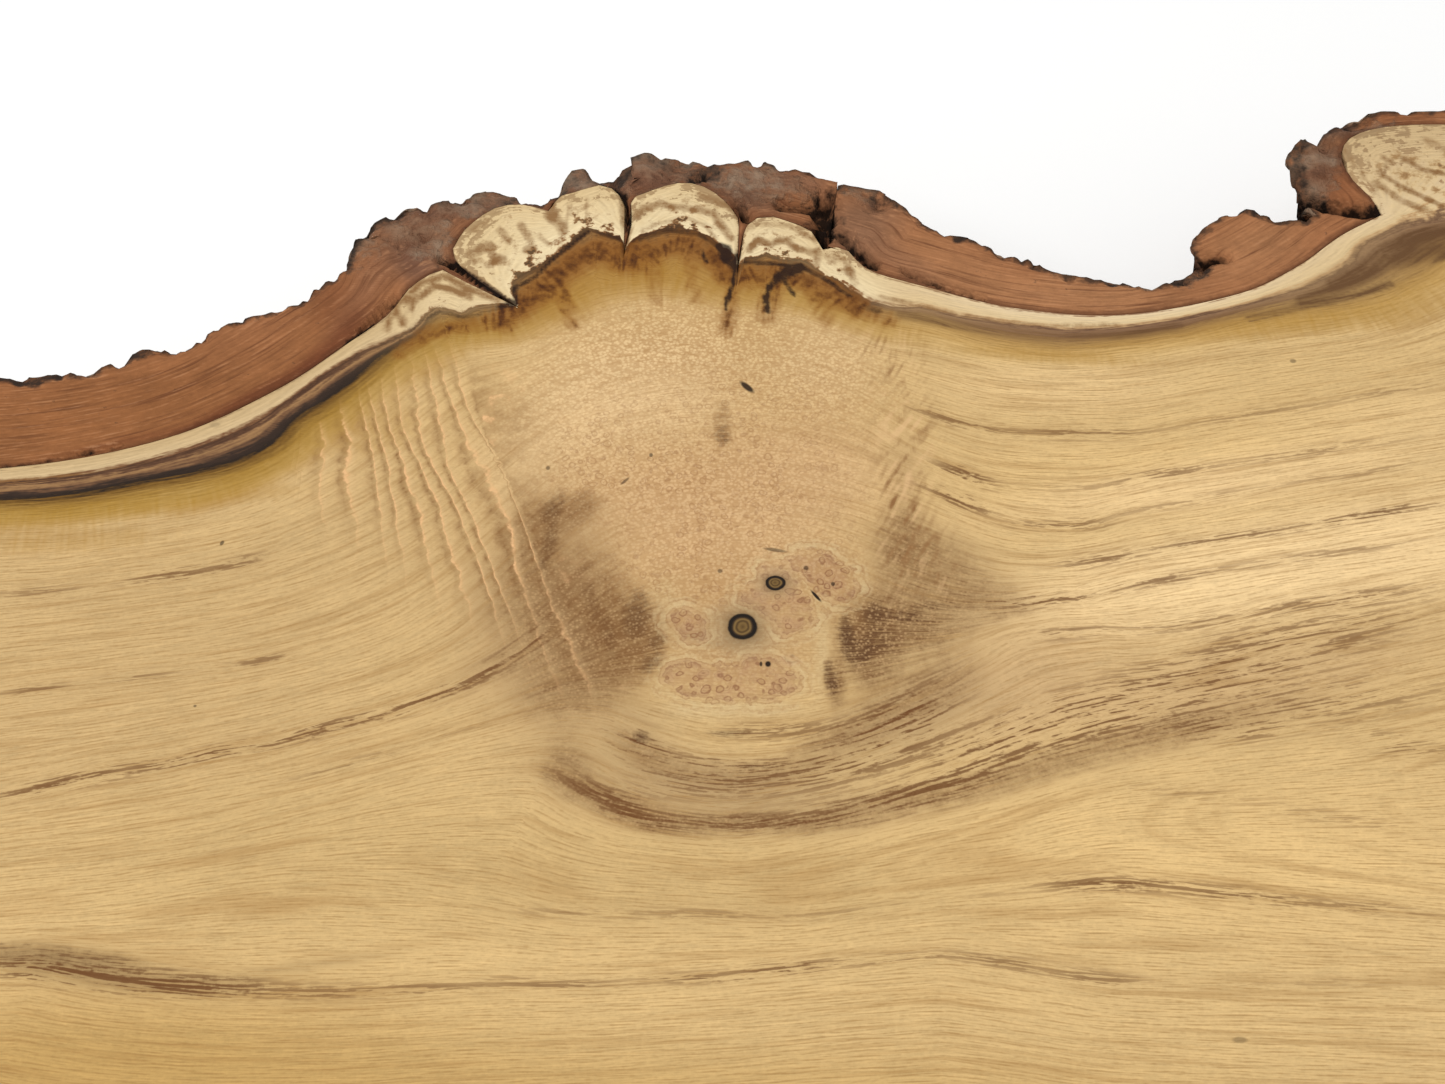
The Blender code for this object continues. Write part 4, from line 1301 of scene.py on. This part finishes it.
bark = {
    "upperBand": 5.1 * mm,  # the corners of the cut face lie this near the planed face
    "farGrid": (1.2 * mm, 2.4 * mm),  # on the cut face, in the photograph and beyond it
    "nearGrid": (2.4 * mm, 2.4 * mm),
    "fineX": 170 * mm,
    "wallCuts": 3,
    "smoothing": 3,
    "plateLength": 19 * mm,  # flaky plates on the ridges
    "plateHeight": 7 * mm,
    "plateDepth": 1.8 * mm,
    "crumb": 2.6 * mm,
    "crumbDepth": 0.6 * mm,
    "lump": 6.5 * mm,  # bumps where the bark's skin shows from above
    "lumpDepth": 5.0 * mm,
    "rimReach": 2.2 * mm,  # the cut face moves with its rim this far in
    "swellReach": 7 * mm,
    "swellDepth": 4.5 * mm,
    "fullDepth": 6 * mm,  # strips thinner than this move less, in step with their thickness
    "chunk": 2 * mm,  # thickness of the chunks that are undercut, and the height of the slope below
    "chunkFade": 9 * mm,
    "chipDepth": 3.9 * mm,
    "chipReach": 1.6 * mm,
    "skinDrop": 1.5 * mm,
    "skinReach": 3 * mm,
    "cleftDepth": 9 * mm,
    "cleftStart": 1.5 * mm,  # clefts start this far from the wood
    "seam": 0.27 * mm,  # the dried-out gap beside the board
    "crustReach": 16 * mm,  # crusts and clefts fade out this far down the wall
    "sharpAngle": 50,  # degrees between faces, from which an edge is left sharp
    "splitMiddle": (28.5 * mm, 162 * mm),
    "splitHalf": (9 * mm, 16 * mm),
}
# Colours of the cut bark, washed over each other as on the board
cutBark = "#a06a45"
barkWashes = (
    ("#94603a", ((80, 420, 330, 60, -8, 1.0), (330, 330, 60, 40, -40, 0.6))),
    ("#ab7750", ((1080, 296, 130, 20, 4, 1.0), (960, 268, 90, 24, 22, 0.7), (1250, 250, 60, 34, -20, 0.8))),
    ("#8a6349", ((420, 240, 40, 40, -40, 1.0), (860, 225, 36, 40, 50, 0.9), (900, 262, 60, 14, 30, 0.5))),
    ("#73503e", ((470, 205, 60, 14, -10, 0.9), (590, 183, 40, 16, 0, 0.9), (650, 175, 46, 24, 0, 0.9),
                 (770, 178, 60, 16, 4, 0.7), (415, 262, 20, 22, -50, 0.8), (365, 290, 16, 60, 35, 0.4))),
    ("#94694e", ((590, 176, 26, 8, 0, 0.6), (780, 178, 46, 9, 4, 0.9), (500, 200, 40, 6, 0, 0.5))),
    ("#6c3b25", ((250, 398, 90, 7, -28, 0.8), (140, 438, 110, 4, -12, 0.5), (318, 360, 40, 12, -38, 0.8),
                 (350, 330, 16, 26, 40, 0.6), (950, 289, 50, 3, 20, 0.6), (330, 300, 16, 30, 30, 0.4))),
    ("#63493a", ((1320, 165, 26, 34, 0, 0.9), (1350, 130, 40, 10, 0, 0.8), (745, 196, 40, 14, 20, 0.8))),
    ("#8a5636", ((1340, 185, 26, 16, 30, 0.8), (1405, 118, 30, 6, 0, 0.8), (1312, 155, 10, 12, 0, 0.5))),
)
# Darker crusts, and clefts painted near black: that black is painted shade in the clefts and beneath the
# undercut lump. Half width, strength and the pixels along each
barkCrusts = (
    (12, 0.9, (352, 262), (364, 240), (382, 220), (398, 212)), (5, 0.8, (0, 378), (30, 384), (60, 376)),
    (4, 0.8, (112, 362), (130, 358), (152, 353)), (8, 0.9, (604, 188), (620, 178), (632, 170)),
    (6, 0.8, (690, 182), (702, 174), (712, 172)), (9, 0.8, (1178, 280), (1206, 268)),
    (5, 0.7, (866, 196), (890, 206)),
    (4, 0.8, (955, 240), (972, 242)), (5, 0.7, (1210, 214), (1240, 208), (1262, 214)),
    (8, 0.6, (1298, 150), (1304, 200)),
    (6, 0.7, (1304, 142), (1330, 131), (1350, 122)), (4, 0.6, (1100, 278), (1140, 285)),
    (5, 0.5, (440, 202), (520, 198)),
    (6, 0.6, (640, 162), (700, 176), (716, 172)), (7, 0.6, (560, 196), (580, 178), (610, 176)),
    (4, 0.5, (232, 326), (280, 309)),
    (5, 0.4, (442, 240), (470, 214), (520, 200)), (4, 0.5, (420, 290), (440, 268)),
)
barkCleftsAndShade = (
    (12, 1.0, (824, 198), (826, 216), (822, 232)), (6, 1.0, (780, 203), (812, 206)),
    (5, 1.0, (833, 184), (828, 200)),
    (6, 0.95, (842, 232), (858, 250), (873, 265)), (5, 0.9, (739, 205), (747, 219)),
    # painted shadow beneath the undercut lump
    (8, 1.0, (1306, 196), (1345, 206), (1380, 212)),
    (5, 1.0, (1196, 257), (1226, 257)), (4, 0.9, (282, 394), (296, 386)), (4, 0.8, (345, 347),
        (372, 322), (400, 296)),
    (4, 0.9, (440, 258), (450, 262), (500, 296)), (4, 0.9, (612, 186), (624, 198), (629, 230)),
    (3, 0.7, (690, 182), (702, 175)),
    (3, 0.8, (905, 271), (945, 286), (985, 299)), (3, 0.5, (0, 470), (120, 446)), (3, 0.6, (352, 262),
        (360, 248)),
)
# Where the bark's own skin shows, not its cut face
skinSpots = (
    (480, 204, 66, 16, -8, 0.9), (590, 182, 44, 16, 0, 0.9), (650, 172, 46, 20, 0, 1.0),
    (760, 182, 70, 22, 4, 0.8),
    (372, 238, 22, 44, 42, 1.0), (1316, 165, 26, 36, 0, 1.0), (1345, 128, 46, 9, -4, 0.9),
    (1193, 274, 20, 10, -25, 1.0),
    (425, 235, 30, 30, -30, 0.8), (868, 200, 24, 14, 35, 0.6),
)
# The bark stands out further here: middle, half length, half width, turn, share of the swell
swells = (
    (660, 178, 60, 60, 0, 0.9), (375, 240, 30, 40, 0, 1.0), (900, 215, 40, 40, 0, 0.6),
    (230, 334, 30, 40, 0, 0.5),
    (480, 206, 60, 40, 0, 0.4), (590, 184, 26, 30, 0, 0.6), (740, 185, 30, 30, 0, 0.7),
    (1340, 130, 20, 20, 0, 0.6),
)
# The wall draws back under these chunks: middle of the mouth in pixels, reach, and how far it
# goes in x and y
undercuts = (
    ((1288, 190), 26 * mm, (13 * mm, 2 * mm)),
    ((1184, 255), 14 * mm, (8 * mm, 0)),
)


# A strip of bark with its cut face and outer wall divided finely, the inner and outer lines of
# the cut face, and which vertices belong to that face
def barkMesh(node, grid, side):
    bm = copyOfNode(node)
    low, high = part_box(node)
    floorOfBand = top - bark["upperBand"]
    upper = [f for f in bm.faces if min(v.co.z for v in f.verts) > floorOfBand]
    bmesh.ops.dissolve_faces(bm, faces=upper)
    wall = [
        f for f in bm.faces
        if abs(f.normal.x) < 0.99 and any(mm < v.co.z < floorOfBand for v in f.verts)
    ]
    edges = list({e for f in wall for e in f.edges})
    bmesh.ops.subdivide_edges(bm, edges=edges, cuts=bark["wallCuts"], use_grid_fill=True)
    bm.normal_update()
    upper = max(bm.faces, key=lambda f: f.normal.z * f.calc_area())
    outer, inner = sideLines(np.array([vert.co.xyz for vert in upper.verts]))
    if side < 0:
        outer, inner = inner, outer
    fine, coarse = grid
    stops = gridStops(low.x, (-bark["fineX"], coarse), (bark["fineX"], fine), (high.x, coarse))
    strips = sliceFaces(bm, [upper], 0, stops)
    strips = sliceFaces(bm, strips, 1, np.arange(low.y, high.y, fine))
    bm.verts.index_update()
    isCut = np.zeros(len(bm.verts), bool)
    isCut[[v.index for f in strips for v in f.verts]] = True
    free = [
        v for v in bm.verts
        if v.co.z > mm and not isCut[v.index] and abs(v.co.x) < high.x - mm
        and any(abs(f.normal.z) < 0.98 for f in v.link_faces)
    ]
    inside = nearestOn(np.array([v.co.xy for v in free]), inner[:, :2])[0] < mm
    free = [v for v, hidden in zip(free, inside) if not hidden]
    for step in range(bark["smoothing"]):
        bmesh.ops.smooth_vert(bm, verts=free, factor=0.5, use_axis_x=True, use_axis_y=True, use_axis_z=True)
    return bm, inner, outer, isCut


# Noise between -1 and 1 at the rows of co, with a cell size in each direction
def noiseAt(co, sizes, octaves=1):
    rows = co / np.array(sizes)
    return np.array([noise.fractal(row, 1.0, 2.1, octaves) for row in rows.tolist()])


def addBark(name, node, grid, side, material):
    bm, inner, outer, isCut = barkMesh(node, grid, side)
    mesh = finished(name, bm, material, node)
    co = placesOf(mesh)
    depth, away, along = nearestOn(co[:, :2], inner[:, :2])
    away /= np.maximum(depth, 1e-9)[:, None]
    rim = nearestOn(co[:, :2], outer[:, :2])[0]
    gaps = (*crevices, barkSplit) if side > 0 else ()
    px, py = inPhoto(*narrowed(co[:, :2], gaps).T)
    none = np.zeros(len(co))
    skin, swell = (softSpots(px, py, spots) if side > 0 else none for spots in (skinSpots, swells))
    crust, cleftAndShade = (softStrokes(px, py, lines) if side > 0 else none for lines in (barkCrusts, barkCleftsAndShade))
    ofTop = np.clip(1 - (top - co[:, 2]) / bark["crustReach"], 0, 1)
    crust, cleftAndShade = crust * ofTop, cleftAndShade * ofTop
    onWall = ~isCut & (co[:, 2] > mm) & (depth > mm)
    moves = onWall | (isCut & ((rim < 3 * bark["rimReach"]) | (skin > 0.02)))

    # The rim comes up to the planed face, and the wall below it stretches with it
    byX = np.argsort(outer[:, 0])
    drop = np.interp(co[:, 0], outer[byX, 0], top - outer[byX, 2])
    co[:, 2] = np.where(isCut, top, co[:, 2])
    co[:, 2] = np.where(onWall, np.minimum(co[:, 2] * top / (top - drop), top - 0.2 * mm), co[:, 2])

    # The wall and the rim move out or in, never through to the wood
    plates, crumbs, lumps = np.zeros((3, len(co)))
    long, high = bark["plateLength"], bark["plateHeight"]
    plates[moves] = noiseAt(co[moves], (long, high * 2, high), 4)
    crumbs[moves] = noiseAt(co[moves], (bark["crumb"],) * 3)
    lumps[moves] = noiseAt(co[moves], (bark["lump"],) * 3, 3)
    relief = bark["plateDepth"] * plates + bark["crumbDepth"] * crumbs
    atRim = np.where(isCut, np.exp(-((rim / bark["rimReach"]) ** 2)), onWall)
    wide = np.where(isCut, np.exp(-((rim / bark["swellReach"]) ** 2)), onWall)
    shift = relief * atRim + bark["swellDepth"] * swell * wide
    shift *= np.clip(depth / bark["fullDepth"], 0, 1) * (abs(co[:, 0]) < boardHigh.x - 0.1 * mm)
    co[:, :2] += away * shift[:, None]
    for mouth, reach, (dx, dy) in undercuts if side > 0 else ():
        gap = np.hypot(*(co[:, :2] - onFace(*mouth)).T)
        below = np.clip((top - bark["chunk"] - co[:, 2]) / bark["chunkFade"], 0, 1)
        share = np.exp(-((gap / reach) ** 4)) * onWall * below
        co[:, 0] += dx * share
        co[:, 1] += dy * share
    # Chips along the rim, lumps where the bark's skin shows, and clefts
    chips = np.clip(lumps - 0.05, 0, 1) * np.exp(-((rim / bark["chipReach"]) ** 2))
    sink = bark["chipDepth"] * chips
    bumps = np.clip(0.15 + 0.9 * lumps, 0, 1) * np.clip(depth / bark["skinReach"], 0, 1)
    sink += skin * bark["lumpDepth"] * bumps
    sink += skin * bark["skinDrop"] * np.exp(-((rim / bark["skinReach"]) ** 2))
    sink += bark["cleftDepth"] * cleftAndShade**2 * np.clip(depth / bark["cleftStart"] - 0.2, 0, 1)
    co[:, 2] -= sink * np.where(isCut, 1, onWall * (co[:, 2] / top) ** 4)
    # Round the knuckles bark and sapwood touch
    touching = isCut & (depth < 0.05 * mm)
    inward = np.column_stack([along[:, 1], -along[:, 0]]) * bark["seam"]
    share = np.clip(2 * softSpots(px, py, boardSpots["knuckles"]), 0, 1) * touching * (side > 0)
    co[:, :2] += inward * share[:, None]

    # The split's walls take the cleft layer in full, so they are painted near black: painted shade inside the
    # split
    inSplit = (abs(co[:, :2] - bark["splitMiddle"]) < bark["splitHalf"]).all(1) & onWall & (side > 0)
    co[:, :2] = narrowed(co[:, :2], gaps)
    mesh.vertices.foreach_set("co", co.ravel())

    colours = np.tile(linear(cutBark)[:3], (len(co), 1))
    for hexColour, spots in barkWashes if side > 0 else ():
        colours = washOver(colours, hexColour, softSpots(px, py, spots))
    layers = {
        "flow": np.column_stack([along, none]),
        "barkDepth": depth / mm,
        "rimDepth": rim / mm,
        "cut": np.where(isCut, np.where(rim < 0.05 * mm, 0.5, 1.0), 0.0),
        "skin": skin,
        "crust": crust,
        "cleftAndShade": np.where(inSplit, np.maximum(cleftAndShade, ofTop), cleftAndShade),
        "relief": relief / bark["plateDepth"] - 0.6 * np.clip(lumps, 0, 1),
    }
    addLayers(mesh, layers, colours)
    mesh.shade_smooth()
    mesh.set_sharp_from_angle(angle=math.radians(bark["sharpAngle"]))
    # The lower face is sawn flat, so no shading of the wall runs into it
    low = co[:, 2] < 0.01 * mm
    for edge in mesh.edges:
        edge.use_edge_sharp |= bool(low[list(edge.vertices)].all())


# Black locust bark: fibrous and rust-brown where the plane cut it, with fine layers that follow
# the edge. Its weathered skin is grey-brown, darker in the furrows.
barkFinish = {
    "layer": (24.0, 0.9, 3.0),  # length and thickness of a bast layer in mm, then noise detail
    "fibre": (0.55, 6.0, 10),  # width and length in mm of a streak, then how many places it blends
    "cloud": (11.0, 0.5),  # size in mm, then noise roughness
    "lump": (3.4, 0.6),
    "crumb": (1.5, 0.7),
    "squeeze": 0.4,  # places shrink to this share along a streak, which draws it out
    # How far each pattern shades the cut face, and the weathered skin
    "cutTone": {"layer": 0.55, "fibre": 0.32, "cloud": 0.50, "lump": 0.30, "crumb": 0.30},
    "skinTone": {"cloud": 0.8, "lump": 1.1, "crumb": 0.5},
    "darkLayer": "#6a3f28",
    "lightFibre": "#b98660",
    "innerRow": "#53301f",
    "rimColour": "#3b2f27",
    "crustColour": "#372c25",
    # near black of the clefts, the split and the undercut: painted shade
    "cleftShadeColour": "#0f0b09",
    "roughness": 0.85,
    "sheen": 0.08,
    "bump": 0.5 * mm,
}
# Weathered skin from the furrows up to the ridges
skinTone = ((0.10, "#3a2920", 1), (0.42, "#7a5641", 1), (0.62, "#8e6e56", 1), (0.95, "#9c8670", 1))


def barkMaterial():
    material, tree = newMaterial("black locust bark")
    place = addNode(tree, "ShaderNodeTexCoord")["Object"]
    layer = {
        name: addNode(tree, "ShaderNodeAttribute", attribute_name=name)["Fac"]
        for name in ("barkDepth", "rimDepth", "cut", "skin", "relief", "crust", "cleftAndShade")
    }
    colour = addNode(tree, "ShaderNodeAttribute", attribute_name="tint")["Color"]
    flow = addNode(tree, "ShaderNodeAttribute", attribute_name="flow")["Vector"]
    patterns = {
        "layer": layersAlong(tree, place, layer["barkDepth"], *barkFinish["layer"], 0.65),
        "fibre": streaksAlong(tree, place, flow, (barkFinish["squeeze"], 1, 1), *barkFinish["fibre"]),
    }
    for name in ("cloud", "lump", "crumb"):
        size, roughness = barkFinish[name]
        settings = {"Vector": place, "Scale": 1 / (size * mm), "Detail": 4.0, "Roughness": roughness}
        patterns[name] = addNode(tree, "ShaderNodeTexNoise", settings)[0]
    lump, crumb = patterns["lump"], patterns["crumb"]

    # Cut face
    tone = swayed(tree, 1.0, patterns, barkFinish["cutTone"])
    colour = addNode(tree, "ShaderNodeVectorMath", {"Vector": colour, "Scale": tone}, operation="SCALE")[0]
    row, ragged = (
        addNode(tree, "ShaderNodeMath", {0: lump, 1: strength, 2: layer[name]}, operation="MULTIPLY_ADD")[0]
        for name, strength in (("barkDepth", -3.0), ("rimDepth", -7.0))
    )
    for source, start, end, most, shade in (
        (patterns["layer"], 0.46, 0.30, 0.75, "darkLayer"),
        (patterns["fibre"], 0.62, 1.0, 0.5, "lightFibre"),
        (row, 0.3, -1.2, 0.6, "innerRow"),
        (ragged, -1.6, -3.4, 0.85, "rimColour"),
    ):
        cover = addNode(tree, "ShaderNodeMapRange", {"Value": source, 1: start, 2: end, 4: most})[0]
        colour = addNode(
            tree, "ShaderNodeMix", {0: cover, 6: colour, 7: linear(barkFinish[shade])}, data_type="RGBA"
        )[2]

    # Weathered skin, on the wall and in ragged patches of the upper side
    flake = swayed(tree, layer["relief"], patterns, barkFinish["skinTone"])
    flake = addNode(tree, "ShaderNodeMapRange", {"Value": flake, 1: -1.2, 2: 0.6})[0]
    weathered = addNode(tree, "ShaderNodeValToRGB", {0: flake}, rampStops(skinTone, 1.0))[0]
    worn = swayed(tree, layer["skin"], patterns, {"lump": 1.8})
    worn = addNode(tree, "ShaderNodeMapRange", {"Value": worn, 1: 0.35, 2: 0.85, 4: 0.7})[0]
    clean = addNode(tree, "ShaderNodeMath", {0: crumb, 1: 0.5, 2: layer["cut"]}, operation="MULTIPLY_ADD")[0]
    clean = addNode(tree, "ShaderNodeMapRange", {"Value": clean, 1: 0.70, 2: 0.80})[0]
    clean = addNode(tree, "ShaderNodeMath", {0: clean, 1: worn}, operation="SUBTRACT", use_clamp=True)[0]
    colour = addNode(tree, "ShaderNodeMix", {0: clean, 6: weathered, 7: colour}, data_type="RGBA")[2]
    # Darker crusts, then painted shade: the clefts, the split and the undercut beneath the lump painted near
    # black
    for name, end, shade in (("crust", 0.8, "crustColour"), ("cleftAndShade", 0.75, "cleftShadeColour")):
        cover = swayed(tree, layer[name], patterns, {"lump": 1.6})
        cover = addNode(tree, "ShaderNodeMapRange", {"Value": cover, 1: 0.3, 2: end, 4: 0.95})[0]
        colour = addNode(
            tree, "ShaderNodeMix", {0: cover, 6: colour, 7: linear(barkFinish[shade])}, data_type="RGBA"
        )[2]

    # Relief, finer where the plane cut
    coarse = addNode(tree, "ShaderNodeMapRange", {"Value": clean, 3: 1.6, 4: 0.35})[0]
    height = addNode(tree, "ShaderNodeMath", {0: lump, 1: 2.0, 2: crumb}, operation="MULTIPLY_ADD")[0]
    height = scaledBy(tree, height, coarse)
    height = {0: patterns["layer"], 1: 0.5, 2: height}
    height = addNode(tree, "ShaderNodeMath", height, operation="MULTIPLY_ADD")[0]
    bump = {"Strength": 0.9, "Distance": barkFinish["bump"], "Height": height}
    settings = {
        "Base Color": colour,
        "Roughness": barkFinish["roughness"],
        "Specular IOR Level": barkFinish["sheen"],
        "Normal": addNode(tree, "ShaderNodeBump", bump)[0],
    }
    shader = addNode(tree, "ShaderNodeBsdfPrincipled", settings)
    addNode(tree, "ShaderNodeOutputMaterial", {"Surface": shader[0]})
    return material


barkSkin = barkMaterial()
addBark("farBark", "bark_far_edge", bark["farGrid"], 1, barkSkin)
addBark("nearBark", "bark_near_edge", bark["nearGrid"], -1, barkSkin)
print("bark ready")
